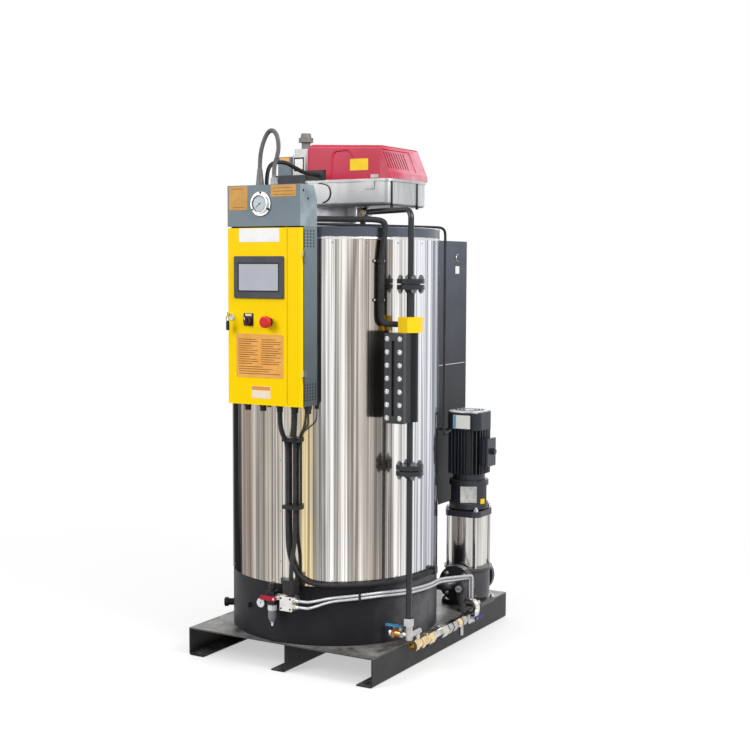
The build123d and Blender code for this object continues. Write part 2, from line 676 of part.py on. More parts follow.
gauge_body = block(cover_left + 4, cover_right - 4, cover_back, column_y - 10, gauge_bottom, gauge_top)
gauge_body += rod_z(column_x, column_y, gauge_bottom, gauge_top, chamber_radius)
save("level_gauge_body", gauge_body)
cover = block(cover_left, cover_right, cover_front, cover_back, gauge_bottom, gauge_top)
cover = chamfer(cover.edges().group_by(Axis.Y)[0], 3)
cover -= block(slot_x - slot_half, slot_x + slot_half, cover_front - 1, cover_back + 1,
               gauge_bottom + slot_end, gauge_top - slot_end)
save("level_gauge_cover", cover)
save("level_gauge_glass", block(slot_x - slot_half + fit_gap, slot_x + slot_half - fit_gap,
                                cover_front + 8, cover_back,
                                gauge_bottom + slot_end + fit_gap, gauge_top - slot_end - fit_gap))

# Drain valve under the column, with its lever and unions
valve_z = drain_z + 46
valve_end = column_x - 62
stem_x = column_x - 33
lever_low = valve_z + 24
lever_top = valve_z + 30
stem_radius = 4.0
tee_y = column_y + 64
union_r = 12.0
drop_r = 10.0
saddle_radius = 17.0
column_unions = hex_z(column_x, column_y, nut_bottom, nut_top, 20) + rod_x(valve_end - 8, valve_end,
                                                                           column_y, valve_z, 19)
union = rod_y(column_x, column_y + 16, tee_y + union_r, valve_z, union_r)
union += rod_z(column_x, tee_y, drain_z + saddle_radius + fit_gap, valve_z, drop_r)
column_unions += union
valve = rod_z(column_x, column_y, valve_z - 16, nut_bottom, 14) + rod_x(valve_end, column_x, column_y,
                                                                        valve_z, 14)
valve += hex_x(valve_end, valve_end + 12, column_y, valve_z, 17) + hex_x(column_x - 28, column_x - 17,
                                                                         column_y, valve_z, 17)
valve += rod_y(column_x, column_y, column_y + 16, valve_z, 14)
valve += rod_z(stem_x, column_y, valve_z, lever_low - 1, 8)
valve += rod_z(stem_x, column_y, valve_z, lever_top + 2, stem_radius)
save("drain_valve", valve)
drain_lever = block(stem_x - 60, stem_x, column_y - 8, column_y + 8, lever_low, lever_top)
drain_lever = fillet(drain_lever.edges().filter_by(Axis.Z).group_by(Axis.X)[0], 6)
drain_lever += rod_z(stem_x, column_y, lever_low, lever_top, 10)
drain_lever -= rod_z(stem_x, column_y, lever_low - 3, lever_top + 4, stem_radius + pin_gap)
save("drain_lever", drain_lever)

# Drain line: brass run with an open front end, strainer body, unions, drip tail and second valve
line_front = column_y + 25
line_bore = 9.0
line_bore_depth = 40.0
act_x = pump_x + 49
act_y = pump_y - port_half - 76
act_foot = 22.2
line_back = act_y + 23
line_run = line_back - line_front
line = hose([(column_x, line_front, drain_z), (column_x, line_back, drain_z),
             (column_x, line_back, valve_z),
             (act_x + act_foot, line_back, valve_z)], 22, drain_radius)
line += rod_y(column_x, line_front, line_front + 26, drain_z, 21)
line += rod_y(column_x, line_front + 26, line_front + 54, drain_z, saddle_radius)
for start, length in ((54, 24), (110, 40), (210, 42)):
    line += hex_y(column_x, line_front + start, line_front + start + length, drain_z, 23)
line += rod_y(column_x, line_front + 78, line_front + 110, drain_z, 19)
ring_y = line_front + 0.648 * line_run
line += rod_y(column_x, ring_y, ring_y + 30, drain_z, 18)
line -= rod_y(column_x, line_front - 1, line_front + line_bore_depth, drain_z, line_bore)
save("drain_line", line)
sleeve_bore = drain_radius + fit_gap
unions = None
for share in (0.495, 0.575):
    y = line_front + share * line_run
    u = hex_y(column_x, y, y + 30, drain_z, 21)
    u -= rod_y(column_x, y - 1, y + 31, drain_z, sleeve_bore)
    unions = u if unions is None else unions + u
drip_y = line_front + 0.7486 * line_run
drip = rod_y(column_x, drip_y - 15, drip_y + 15, drain_z, 18) + rod_z(column_x, drip_y, drain_z - 54,
                                                                      drain_z, 8)
unions += drip - rod_y(column_x, drip_y - 16, drip_y + 16, drain_z, sleeve_bore)
blow_y = line_front + 0.8667 * line_run
blow_x = column_x + 30
blow_thick = 5.0
blow_body = soft_block(column_x - 17, column_x + 17, blow_y - 26, blow_y + 26, drain_z - 17, drain_z + 17,
                       6)
blow_body -= rod_y(column_x, blow_y - 27, blow_y + 27, drain_z, sleeve_bore)
blow_body += rod_x(column_x + 16, blow_x + 7, blow_y, drain_z, stem_radius)
save("pipe_unions", unions + blow_body + column_unions)
blow_lever = block(blow_x, blow_x + blow_thick, blow_y, blow_y + 62, drain_z - 7, drain_z + 7)
blow_lever = fillet(blow_lever.edges().filter_by(Axis.X).group_by(Axis.Y)[-1], 5)
blow_lever += rod_x(blow_x, blow_x + blow_thick, blow_y, drain_z, 9)
blow_lever -= rod_x(blow_x - 1, blow_x + blow_thick + 3, blow_y, drain_z, stem_radius + pin_gap)
save("blowdown_lever", blow_lever)
arm_half = 8.0
arm_thick = 6.0
tab_thick = 4.0
tab_drop = 56.0
brackets = None
for y in (line_front + 200, line_back - 35):
    arm = block(skid_half, column_x - sleeve_bore, y - arm_half, y + arm_half, drain_z - arm_thick,
                drain_z + arm_thick)
    arm += block(skid_half, skid_half + tab_thick, y - arm_half, y + arm_half, drain_z - tab_drop,
                 drain_z - arm_thick)
    arm -= rod_y(column_x, y - 2 * arm_half, y + 2 * arm_half, drain_z, sleeve_bore)
    brackets = arm if brackets is None else brackets + arm
save("right_runner", right_runner + brackets)

# Blowdown actuator beside the pump, fed by two air tubes
act_z = deck_top + 94
act_radius = 25.0
act_length = 54.0
act_base = 18.0
act = rod_y(act_x, act_y, act_y + act_length, act_z, act_radius)
act = fillet(act.edges().filter_by(GeomType.CIRCLE).group_by(Axis.Y)[0], 6)
act += turned(act_x, line_back, deck_top, (act_base, 0), (act_base, 14), (12, 18),
              (26, act_z - deck_top - 4))
act += rod_y(act_x, act_y - 10, act_y + 8, act_z, 15)
save("blowdown_actuator", act)
tube_radius = 5.0
tube_axis = skirt_radius + tube_radius + 7
tube_z = skirt_top - 26
tube_end = valve_z + drain_radius + fit_gap
tubes = None
for drop, tube_x, z0 in ((0.0, column_x - 19.5, port_zs[0]), (12.0, column_x - 30.5, port_zs[1])):
    route = [(valve_x1 + port_reach, set_y, z0), (valve_x1 + port_reach + 38, set_y, z0)]
    route += [on_shell(a, tube_axis / cos(radians(9)), tube_z + lift - drop)
              for a, lift in ((36, -8), (54, 0), (72, -6), (90, -10), (108, -16))]
    route += [(tube_x, line_back, tube_z - 40 - drop), (tube_x, line_back, tube_end)]
    tube = hose(route, 20, tube_radius)
    tubes = tube if tubes is None else tubes + tube
save("air_tubes", tubes)

# Feed pump: cast foot and ports, sleeve between tie rods, head with a lantern
foot_half_x = 88.0
foot_half_y = 75.0
foot_thick = 16.0
barrel_radius = port_half - 14
port_radius = 34.0
port_flange = 70.0
flange_thick = 18.0
suction_radius = 20.0
suction_depth = 60.0
tie_circle = 86.0
tie_radius = 6.0
head_half = 77.0
base = soft_block(pump_x - foot_half_x, pump_x + foot_half_x, pump_y - foot_half_y, pump_y + foot_half_y,
                  deck_top, deck_top + foot_thick, 20)
base += turned(pump_x, pump_y, deck_top + foot_thick, (barrel_radius - 12, 0), (barrel_radius - 4, 14),
               (barrel_radius, 30), (barrel_radius, pump_base_height - foot_thick - 16),
               (tie_circle + 10, pump_base_height - foot_thick - 10), (tie_circle + 10,
                                                                       pump_base_height - foot_thick))
base += rod_y(pump_x, pump_y - port_half, pump_y + port_half, port_z, port_radius)
for y in (pump_y - port_half, pump_y + port_half - flange_thick):
    base += rod_y(pump_x, y, y + flange_thick, port_z, port_flange)
base -= rod_y(pump_x, pump_y + port_half - suction_depth, pump_y + port_half + 1, port_z, suction_radius)
save("pump_base", base)
sleeve = rod_z(pump_x, pump_y, pump_base_top, sleeve_top, sleeve_radius)
for a in (45, 135, 225, 315):
    x, y = tie_circle * cos(radians(a)), tie_circle * sin(radians(a))
    sleeve += rod_z(pump_x + x, pump_y + y, pump_base_top, sleeve_top, tie_radius)
save("pump_sleeve", sleeve)
window_turn = 25.0
window_half = 34.0
lantern_radius = 78.0
spigot_radius = 64.0
spigot_high = 24.0
head = soft_block(pump_x - head_half, pump_x + head_half, pump_y - head_half, pump_y + head_half,
                  sleeve_top,
                  head_flange_top, 34)
lantern_box = lantern_height - spigot_high
lantern = turned(pump_x, pump_y, head_flange_top, (lantern_radius - 6, 0), (lantern_radius, 6),
                 (lantern_radius, lantern_box - 3), (lantern_radius - 3, lantern_box), (spigot_radius,
                                                                                        lantern_box),
                 (spigot_radius, lantern_height))
for turn in (0, 90, 180, 270):
    window = block(-window_half, window_half, -lantern_radius - 12, -lantern_radius + 20,
                   head_flange_top + 28,
                   head_flange_top + lantern_box - 22)
    lantern -= Pos(pump_x, pump_y, 0) * Rot(0, 0, window_turn + turn) * window
save("pump_head", head + lantern)

# Motor: finned frame that fills a rounded square, terminal box with a gland, slotted fan cowl
core_radius = 60.0
fin_count = 32
fin_half = 2.0
motor_corner = 34.0
box_out = motor_half + 28
box_low = lantern_top + 33
box_high = lantern_top + 143
gland_z = lantern_top + 91
envelope = soft_block(pump_x - motor_half, pump_x + motor_half, pump_y - motor_half, pump_y + motor_half,
                      lantern_top, motor_top, motor_corner)
motor = rod_z(pump_x, pump_y, lantern_top, motor_top, core_radius)
for i in range(fin_count):
    fin = block(core_radius - 10, 2 * motor_half, -fin_half, fin_half, lantern_top, motor_top)
    motor += Pos(pump_x, pump_y, 0) * Rot(0, 0, i * 360 / fin_count) * fin & envelope
motor += soft_block(pump_x + 50, pump_x + box_out - 10, pump_y - 37, pump_y + 37, box_low + 3,
                    box_high - 3, 6)
motor += soft_block(pump_x + box_out - 12, pump_x + box_out, pump_y - 40, pump_y + 40, box_low, box_high, 5)
motor += hex_x(pump_x + box_out, pump_x + box_out + 10, pump_y, gland_z, 13)
motor += rod_x(pump_x + box_out + 10, pump_x + box_out + 16, pump_y, gland_z, 10)
save("motor_frame", motor)
cowl_half = motor_half + 1
cowl = soft_block(pump_x - cowl_half, pump_x + cowl_half, pump_y - cowl_half, pump_y + cowl_half,
                  motor_top, cowl_top, motor_corner)
cowl = fillet(cowl.edges().group_by(Axis.Z)[-1], 10)
for r in (22.0, 36.0, 50.0):
    cowl -= rod_z(pump_x, pump_y, cowl_top - 5, cowl_top + 1, r + 7) - rod_z(pump_x, pump_y, cowl_top - 6,
                                                                             cowl_top + 2, r)
save("motor_cowl", cowl)
feed_radius = 21.0
feed_y = pump_y - port_half - 62
feed_in = sqrt(skirt_radius ** 2 - feed_y ** 2) - 36
feed = hose([(pump_x, pump_y - port_half - flange_thick, port_z), (pump_x, feed_y, port_z),
             (feed_in, feed_y, port_z)],
            30, feed_radius)
feed += rod_y(pump_x, pump_y - port_half - flange_thick, pump_y - port_half, port_z, port_flange)
save("feed_pipe", feed - skirt_cut)

# Rear casing behind the jacket with two side covers and a cam lock
casing_split = (casing_bottom + jacket_top) / 2 + 33
cover_thick = 3.0
cover_y0 = jacket_radius + 32
cover_y1 = casing_back - 20
casing = block(-casing_half, casing_half, jacket_radius - 88, casing_back, casing_bottom, jacket_top)
casing = fillet(casing.edges().filter_by(Axis.Z).group_by(Axis.Y)[-1], 6)
casing -= shell_cut
casing += block(casing_half, casing_half + cover_thick, cover_y0, cover_y1, casing_split + 4,
                jacket_top - 20)
casing += block(casing_half, casing_half + cover_thick, cover_y0, cover_y1, casing_bottom + 20,
                casing_split - 4)
casing += rod_x(casing_half + cover_thick, casing_half + cover_thick + 6, jacket_radius + 212,
                jacket_top - 67, 12)
save("rear_casing", casing)
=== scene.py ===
# Looks of a vertical gas-fired steam boiler on a skid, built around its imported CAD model.
import math

import bmesh
import bpy
from mathutils import Matrix, Vector


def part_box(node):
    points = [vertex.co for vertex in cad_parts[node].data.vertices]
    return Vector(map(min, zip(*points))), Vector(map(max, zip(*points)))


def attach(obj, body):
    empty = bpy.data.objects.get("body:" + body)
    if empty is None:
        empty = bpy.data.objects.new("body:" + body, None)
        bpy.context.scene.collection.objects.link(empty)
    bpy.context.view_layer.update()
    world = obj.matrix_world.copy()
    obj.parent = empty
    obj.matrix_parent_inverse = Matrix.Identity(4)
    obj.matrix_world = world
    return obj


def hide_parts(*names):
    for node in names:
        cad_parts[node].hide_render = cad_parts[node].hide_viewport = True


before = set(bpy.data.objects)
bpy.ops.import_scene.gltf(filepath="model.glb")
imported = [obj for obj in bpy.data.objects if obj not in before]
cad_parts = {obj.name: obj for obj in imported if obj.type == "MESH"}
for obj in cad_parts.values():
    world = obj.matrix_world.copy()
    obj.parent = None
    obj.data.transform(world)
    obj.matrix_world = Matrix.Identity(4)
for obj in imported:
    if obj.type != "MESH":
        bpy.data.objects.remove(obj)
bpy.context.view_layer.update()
scene = bpy.context.scene

# Camera: stands off the cabinet's right-hand corner at chest height and looks slightly down.
# A long lens keeps the skid's lines nearly parallel, as in a catalogue picture.
camera_place = Vector((2.620, -4.237, 1.440))
camera_yaw = math.radians(30.03)
camera_pitch = math.radians(4.64)
camera_roll = math.radians(0.22)
forward = Vector((-math.sin(camera_yaw) * math.cos(camera_pitch),
                  math.cos(camera_yaw) * math.cos(camera_pitch), -math.sin(camera_pitch)))
level = Vector((math.cos(camera_yaw), math.sin(camera_yaw), 0))
upright = level.cross(forward)
camera_right = level * math.cos(camera_roll) + upright * math.sin(camera_roll)
camera_up = upright * math.cos(camera_roll) - level * math.sin(camera_roll)
camera_data = bpy.data.cameras.new("catalogue_camera")
camera_data.sensor_width = 36
camera_data.lens = 63.6
camera = bpy.data.objects.new("catalogue_camera", camera_data)
camera_turn = Matrix((camera_right, camera_up, -forward)).transposed().to_4x4()
camera_turn.translation = camera_place
camera.matrix_world = camera_turn
scene.collection.objects.link(camera)
scene.camera = camera
scene.view_settings.view_transform = "Standard"


# Studio: a white surround that mirror sheet and glass also see, a pale floor that takes the
# shadow, one large soft light at the front left and two weaker ones that open the shadows.
def add(tree, kind, inputs=None, **settings):
    made = tree.nodes.new(kind)
    for name, value in settings.items():
        setattr(made, name, value)
    for name, value in (inputs or {}).items():
        if isinstance(value, bpy.types.NodeSocket):
            tree.links.new(value, made.inputs[name])
        else:
            made.inputs[name].default_value = value
    return made


def value_of(tree, operation, first, second=0.0):
    return add(tree, "ShaderNodeMath", {0: first, 1: second}, operation=operation).outputs[0]


def ranged(tree, value, start=0.0, end=1.0, low=0.0, high=1.0, **settings):
    limits = {"Value": value, "From Min": start, "From Max": end, "To Min": low, "To Max": high}
    return add(tree, "ShaderNodeMapRange", limits, **settings).outputs[0]


surround_light = 0.72
floor_half = 60.0
floor_colour = (0.93, 0.93, 0.93, 1)
floor_shadow_share = 0.5
floor_fade_start = 1.2
floor_fade_end = 3.2
floor_drop = 0.001


def seen_directly(tree):
    path = add(tree, "ShaderNodeLightPath")
    mirrored = value_of(tree, "MAXIMUM", path.outputs["Is Glossy Ray"], path.outputs["Is Transmission Ray"])
    return value_of(tree, "MAXIMUM", path.outputs["Is Camera Ray"], mirrored)


world = bpy.data.worlds.new("white_surround")
scene.world = world
world.use_nodes = True
surround = world.node_tree
surround.nodes["Background"].inputs["Color"].default_value = (1, 1, 1, 1)
surround_strength = ranged(surround, seen_directly(surround), low=surround_light)
surround.links.new(surround_strength, surround.nodes["Background"].inputs["Strength"])

floor_finish = bpy.data.materials.new("floor_finish")
floor_finish.use_nodes = True
floor_tree = floor_finish.node_tree
floor_glow = add(floor_tree, "ShaderNodeEmission", {"Color": (1, 1, 1, 1),
                                                    "Strength": seen_directly(floor_tree)})
floor_matt = add(floor_tree, "ShaderNodeBsdfDiffuse", {"Color": floor_colour})
floor_where = add(floor_tree, "ShaderNodeTexCoord")
floor_span = add(floor_tree, "ShaderNodeVectorMath", {0: floor_where.outputs["Object"]}, operation="LENGTH")
floor_near = ranged(floor_tree, floor_span.outputs["Value"], floor_fade_start, floor_fade_end,
                    floor_shadow_share, 0.0, interpolation_type="SMOOTHSTEP")
floor_mix = add(floor_tree, "ShaderNodeMixShader", {0: floor_near, 1: floor_glow.outputs[0],
                                                    2: floor_matt.outputs[0]})
floor_tree.links.new(floor_mix.outputs[0], floor_tree.nodes["Material Output"].inputs["Surface"])
floor_mesh = bpy.data.meshes.new("studio_floor")
floor_mesh.from_pydata([(-floor_half, -floor_half, 0), (floor_half, -floor_half, 0),
                        (floor_half, floor_half, 0), (-floor_half, floor_half, 0)], [], [(0, 1, 2, 3)])
floor_mesh.materials.append(floor_finish)
floor = bpy.data.objects.new("studio_floor", floor_mesh)
floor.location.z = -floor_drop
scene.collection.objects.link(floor)


def soft_light(name, place, aim, size, power):
    data = bpy.data.lights.new(name, "AREA")
    data.size = size
    data.energy = power
    lamp = bpy.data.objects.new(name, data)
    lamp.location = place
    lamp.rotation_euler = (Vector(aim) - Vector(place)).to_track_quat("-Z", "Y").to_euler()
    scene.collection.objects.link(lamp)


soft_light("front_left_soft", (-2.4, -4.6, 3.6), (0, 0, 1.0), 2.6, 165)
soft_light("right_soft", (3.4, -1.0, 3.2), (0, 0, 1.3), 1.8, 120)
soft_light("back_soft", (-1.5, 4.5, 3.4), (0, 0, 1.0), 2.6, 60)


# Conduit loop: a ribbed grey plastic conduit that leaves a tapered gland on the instrument box,
# stands up in a tall hoop on its own stiffness and goes down into a metal gland beside it.
def mm(x, y, z):
    return Vector((x, y, z)) / 1000


def srgb(red, green, blue):
    shares = (red / 255, green / 255, blue / 255)
    return tuple(c / 12.92 if c < 0.043 else ((c + 0.055) / 1.055) ** 2.4 for c in shares) + (1,)


def shader_group(name, inputs, outputs):
    tree = bpy.data.node_groups.new(name, "ShaderNodeTree")
    for label, kind, value in inputs:
        socket = tree.interface.new_socket(label, in_out="INPUT", socket_type="NodeSocket" + kind)
        socket.default_value = value
    for label, kind in outputs:
        tree.interface.new_socket(label, in_out="OUTPUT", socket_type="NodeSocket" + kind)
    return tree, tree.nodes.new("NodeGroupInput").outputs, tree.nodes.new("NodeGroupOutput").inputs


def mixed(tree, share, first, second):
    return add(tree, "ShaderNodeMix", {"Factor": share, 6: first, 7: second}, data_type="RGBA").outputs[2]


# Grain: slow colour patches, uneven gloss and a fine relief, stretched along an axis for drawn work
grain, given, out = shader_group(
    "surface_grain",
    [("Colour", "Color", (0.5, 0.5, 0.5, 1)), ("Shade", "Color", (0.4, 0.4, 0.4, 1)),
     ("Stretch", "Vector", (1, 1, 1)), ("Patch Scale", "Float", 6.0), ("Fine Scale", "Float", 300.0),
     ("Gloss Low", "Float", 0.3), ("Gloss High", "Float", 0.5)],
    [("Colour", "Color"), ("Roughness", "Float"), ("Height", "Float")])
where = add(grain, "ShaderNodeTexCoord")
stretched = add(grain, "ShaderNodeVectorMath", {0: where.outputs["Object"], 1: given["Stretch"]},
                operation="MULTIPLY")
patches = add(grain, "ShaderNodeTexNoise", {"Vector": stretched.outputs[0], "Scale": given["Patch Scale"],
                                            "Detail": 6.0, "Roughness": 0.62}).outputs["Fac"]
fine = add(grain, "ShaderNodeTexNoise", {"Vector": stretched.outputs[0], "Scale": given["Fine Scale"],
                                         "Detail": 3.0}).outputs["Fac"]
patched = mixed(grain, ranged(grain, patches, 0.36, 0.68), given["Colour"], given["Shade"])
uneven = value_of(grain, "ADD", value_of(grain, "MULTIPLY", fine, 0.4),
                  value_of(grain, "MULTIPLY", patches, 0.6))
gloss = ranged(grain, uneven, 0.3, 0.7, given["Gloss Low"], given["Gloss High"])
grain.links.new(patched, out["Colour"])
grain.links.new(gloss, out["Roughness"])
grain.links.new(fine, out["Height"])

# Dust: a pale film on faces that look up, broken by noise
dust, given, out = shader_group(
    "settled_dust",
    [("Colour", "Color", (0.5, 0.5, 0.5, 1)), ("Dust", "Color", (0.42, 0.40, 0.37, 1)),
     ("Amount", "Float", 0.3), ("Scale", "Float", 14.0)],
    [("Colour", "Color")])
facing = add(dust, "ShaderNodeNewGeometry")
up_part = add(dust, "ShaderNodeSeparateXYZ", {0: facing.outputs["Normal"]})
where = add(dust, "ShaderNodeTexCoord")
cloud = add(dust, "ShaderNodeTexNoise", {"Vector": where.outputs["Object"], "Scale": given["Scale"],
                                         "Detail": 8.0, "Roughness": 0.7}).outputs["Fac"]
settled = value_of(dust, "MULTIPLY", ranged(dust, up_part.outputs["Z"], 0.2, 0.95),
                   ranged(dust, cloud, 0.38, 0.75))
settled = value_of(dust, "MULTIPLY", settled, given["Amount"])
dust.links.new(mixed(dust, settled, given["Colour"], given["Dust"]), out["Colour"])


def finish(name, colour, shade, gloss, patch=6.0, fine=300.0, relief=0.1, stretch=(1, 1, 1), dusty=0.0,
           **sockets):
    made = bpy.data.materials.new(name)
    made.use_nodes = True
    tree = made.node_tree
    shader = tree.nodes["Principled BSDF"]
    film = add(tree, "ShaderNodeGroup", node_tree=grain, name="film")
    for label, value in (("Colour", colour), ("Shade", shade), ("Stretch", stretch), ("Patch Scale", patch),
                         ("Fine Scale", fine), ("Gloss Low", gloss[0]), ("Gloss High", gloss[1])):
        film.inputs[label].default_value = value
    shown = film.outputs["Colour"]
    if dusty:
        layer = add(tree, "ShaderNodeGroup", node_tree=dust, name="dust")
        layer.inputs["Amount"].default_value = dusty
        tree.links.new(shown, layer.inputs["Colour"])
        shown = layer.outputs["Colour"]
    tree.links.new(shown, shader.inputs["Base Color"])
    tree.links.new(film.outputs["Roughness"], shader.inputs["Roughness"])
    bump = add(tree, "ShaderNodeBump", {"Height": film.outputs["Height"], "Strength": relief,
                                        "Distance": 0.001})
    tree.links.new(bump.outputs[0], shader.inputs["Normal"])
    shader.inputs["Specular IOR Level"].default_value = 0.25
    for label, value in sockets.items():
        shader.inputs[label.replace("_", " ")].default_value = value
    return made


def carried(piece, body):
    scene.collection.objects.link(piece)
    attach(piece, body)
    return piece


def grower(name, inputs):
    tree = bpy.data.node_groups.new(name, "GeometryNodeTree")
    tree.interface.new_socket("Geometry", in_out="INPUT", socket_type="NodeSocketGeometry")
    for label, kind, value in inputs:
        socket = tree.interface.new_socket(label, in_out="INPUT", socket_type="NodeSocket" + kind)
        socket.default_value = value
    tree.interface.new_socket("Material", in_out="INPUT", socket_type="NodeSocketMaterial")
    tree.interface.new_socket("Geometry", in_out="OUTPUT", socket_type="NodeSocketGeometry")
    return tree, tree.nodes.new("NodeGroupInput").outputs, tree.nodes.new("NodeGroupOutput").inputs


def end_tree(tree, geometry, given, out):
    real = add(tree, "GeometryNodeRealizeInstances", {"Geometry": geometry})
    painted = add(tree, "GeometryNodeSetMaterial", {"Geometry": real.outputs[0],
                                                    "Material": given["Material"]})
    tree.links.new(painted.outputs[0], out["Geometry"])


def grow(name, source, tree, sizes, body):
    holder = bpy.data.objects.new(name + "_source", source)
    scene.collection.objects.link(holder)
    modifier = holder.modifiers.new("grow", "NODES")
    modifier.node_group = tree
    keys = {item.name: item.identifier for item in tree.interface.items_tree if item.in_out == "INPUT"}
    for label, value in sizes.items():
        modifier[keys[label]] = value
    shown = holder.evaluated_get(bpy.context.evaluated_depsgraph_get())
    made = bpy.data.meshes.new_from_object(shown)
    bpy.data.objects.remove(holder)
    made.name = name
    return carried(bpy.data.objects.new(name, made), body)


def chain(points):
    mesh = bpy.data.meshes.new("chain")
    mesh.from_pydata([tuple(p) for p in points], [(i, i + 1) for i in range(len(points) - 1)], [])
    return mesh


def smooth_line(points):
    curve = bpy.data.curves.new("route", "CURVE")
    curve.dimensions = "3D"
    curve.resolution_u = 16
    spline = curve.splines.new("NURBS")
    spline.points.add(len(points) - 1)
    for knot, place in zip(spline.points, points):
        knot.co = (*place, 1)
    spline.order_u = 3
    spline.use_endpoint_u = True
    route = bpy.data.objects.new("route", curve)
    scene.collection.objects.link(route)
    line = bpy.data.meshes.new_from_object(route.evaluated_get(bpy.context.evaluated_depsgraph_get()))
    points = [v.co.copy() for v in line.vertices]
    bpy.data.objects.remove(route)
    bpy.data.meshes.remove(line)
    return points


ribbed_tube, given, out = grower("ribbed_tube", [("Radius", "Float", 0.008), ("Rib Pitch", "Float", 0.005),
                                                 ("Rib Depth", "Float", 0.001), ("Sides", "Int", 14)])
line = add(ribbed_tube, "GeometryNodeMeshToCurve", {"Mesh": given["Geometry"]})
even = add(ribbed_tube, "GeometryNodeResampleCurve", {"Curve": line.outputs[0],
                                                      "Length": value_of(ribbed_tube, "DIVIDE",
                                                                         given["Rib Pitch"], 4.0)},
           mode="LENGTH")
along = add(ribbed_tube, "GeometryNodeSplineParameter")
turns = value_of(ribbed_tube, "DIVIDE", along.outputs["Length"], given["Rib Pitch"])
wave = value_of(ribbed_tube, "COSINE", value_of(ribbed_tube, "MULTIPLY", turns, 2 * math.pi))
sunk = value_of(ribbed_tube, "MULTIPLY", value_of(ribbed_tube, "SUBTRACT", 1.0, wave), 0.5)
sunk = value_of(ribbed_tube, "MULTIPLY", sunk, value_of(ribbed_tube, "DIVIDE", given["Rib Depth"],
                                                        given["Radius"]))
ring = add(ribbed_tube, "GeometryNodeCurvePrimitiveCircle",
           {"Resolution": given["Sides"], "Radius": given["Radius"]})
tube = add(ribbed_tube, "GeometryNodeCurveToMesh",
           {"Curve": even.outputs[0], "Profile Curve": ring.outputs[0],
            "Scale": value_of(ribbed_tube, "SUBTRACT", 1.0, sunk), "Fill Caps": True})
soft = add(ribbed_tube, "GeometryNodeSetShadeSmooth", {"Geometry": tube.outputs[0]})
end_tree(ribbed_tube, soft.outputs[0], given, out)


def ribbed(name, line, radius, pitch, depth, sides, material):
    sizes = {"Radius": radius, "Rib Pitch": pitch, "Rib Depth": depth, "Sides": sides, "Material": material}
    return grow(name, chain(line), ribbed_tube, sizes, "boiler")


conduit_grey = finish("conduit_grey", srgb(112, 112, 115), srgb(88, 88, 92), (0.4, 0.6), patch=30, fine=900,
                      relief=0.08)
conduit_black = finish("conduit_black", srgb(44, 45, 49), srgb(30, 30, 34), (0.35, 0.55), patch=30,
                       fine=900, relief=0.08)
loop_route = [mm(-30, -450, 1778), mm(-30, -450, 1815), mm(-18, -450, 1864), mm(6, -448, 1908),
              mm(36, -449, 1902), mm(50, -451, 1858), mm(44, -450, 1820), mm(29, -450, 1787),
              mm(29, -450, 1754)]
loop_line = smooth_line(loop_route)
conduit_loop = ribbed("conduit_loop_ribbed", loop_line, 0.008, 0.0042, 0.0012, 16, conduit_grey)
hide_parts("conduit_loop")

# Burner lead: a black corrugated sleeve from the box's rear slope, arched over the cabinet and
# lying down to the black plug that feeds the burner.
lead_route = [mm(-22, -421, 1718), mm(-22, -421, 1762), mm(-14, -406, 1800), mm(12, -362, 1806),
              mm(10, -300, 1792), mm(4, -240, 1780), mm(0, -186, 1775), mm(0, -138, 1775)]
lead_line = smooth_line(lead_route)
burner_lead = ribbed("burner_lead_ribbed", lead_line, 0.0075, 0.004, 0.001, 16, conduit_black)
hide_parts("burner_lead")


# Skid: folded and welded steel sheet, sprayed satin black, scuffed and dusty where feet and
# straps touch it. The runners take a darker copy of the black as painted shade under the deck.
def dress(material, *names):
    for name in names:
        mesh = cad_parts[name].data
        mesh.materials.clear()
        mesh.materials.append(material)


skid_black = finish("skid_black", srgb(66, 66, 67), srgb(50, 50, 52), (0.26, 0.42), patch=9, fine=500,
                    relief=0.12, dusty=0.8, Specular_IOR_Level=0.5)
# Painted shade: the runners in a darker copy of the skid's black.
runner_shade_black = finish("runner_shade_black", srgb(42, 41, 43), srgb(32, 31, 34), (0.3, 0.45), patch=9, fine=500,
                      relief=0.12, dusty=0.5, Specular_IOR_Level=0.22)
dress(skid_black, "deck_plate")
dress(runner_shade_black, "left_runner", "middle_runner", "right_runner")


# Skirt: the rolled base ring under the jacket, in a cleaner coat of the same black, painted
# lighter grey on its right side as a painted highlight.
def past(material, axis, start, end=None):
    """How far a point lies past start on an axis: a ramp up to end, or a sharp edge without one."""
    tree = material.node_tree
    where = add(tree, "ShaderNodeTexCoord")
    place = add(tree, "ShaderNodeSeparateXYZ", {0: where.outputs["Object"]}).outputs[axis]
    return value_of(tree, "GREATER_THAN", place, start) if end is None else ranged(tree, place, start, end)


def retone(material, share, colour, shade=None, metal=None):
    """Lays other tones over those of a finish, by a share from 0 to 1."""
    tree = material.node_tree
    film = tree.nodes["film"].inputs
    shine = tree.nodes["Principled BSDF"].inputs["Metallic"]
    for socket, tone, kind, first, result in ((film["Colour"], colour, "RGBA", 6, 2),
                                              (film["Shade"], shade, "RGBA", 6, 2),
                                              (shine, metal, "FLOAT", 2, 0)):
        if tone is None:
            continue
        before = socket.links[0].from_socket if socket.is_linked else socket.default_value
        blend = add(tree, "ShaderNodeMix", {"Factor": share, first: before, first + 1: tone},
                    data_type=kind)
        tree.links.new(blend.outputs[result], socket)


skirt_black = finish("skirt_black", srgb(34, 33, 36), srgb(26, 26, 29), (0.4, 0.55), patch=7, fine=420,
                     relief=0.1, Specular_IOR_Level=0.14)
# Painted highlight: lighter grey from X 0.30 to 0.40.
retone(skirt_black, past(skirt_black, "X", 0.30, 0.40), srgb(98, 97, 102))
dress(skirt_black, "base_skirt")
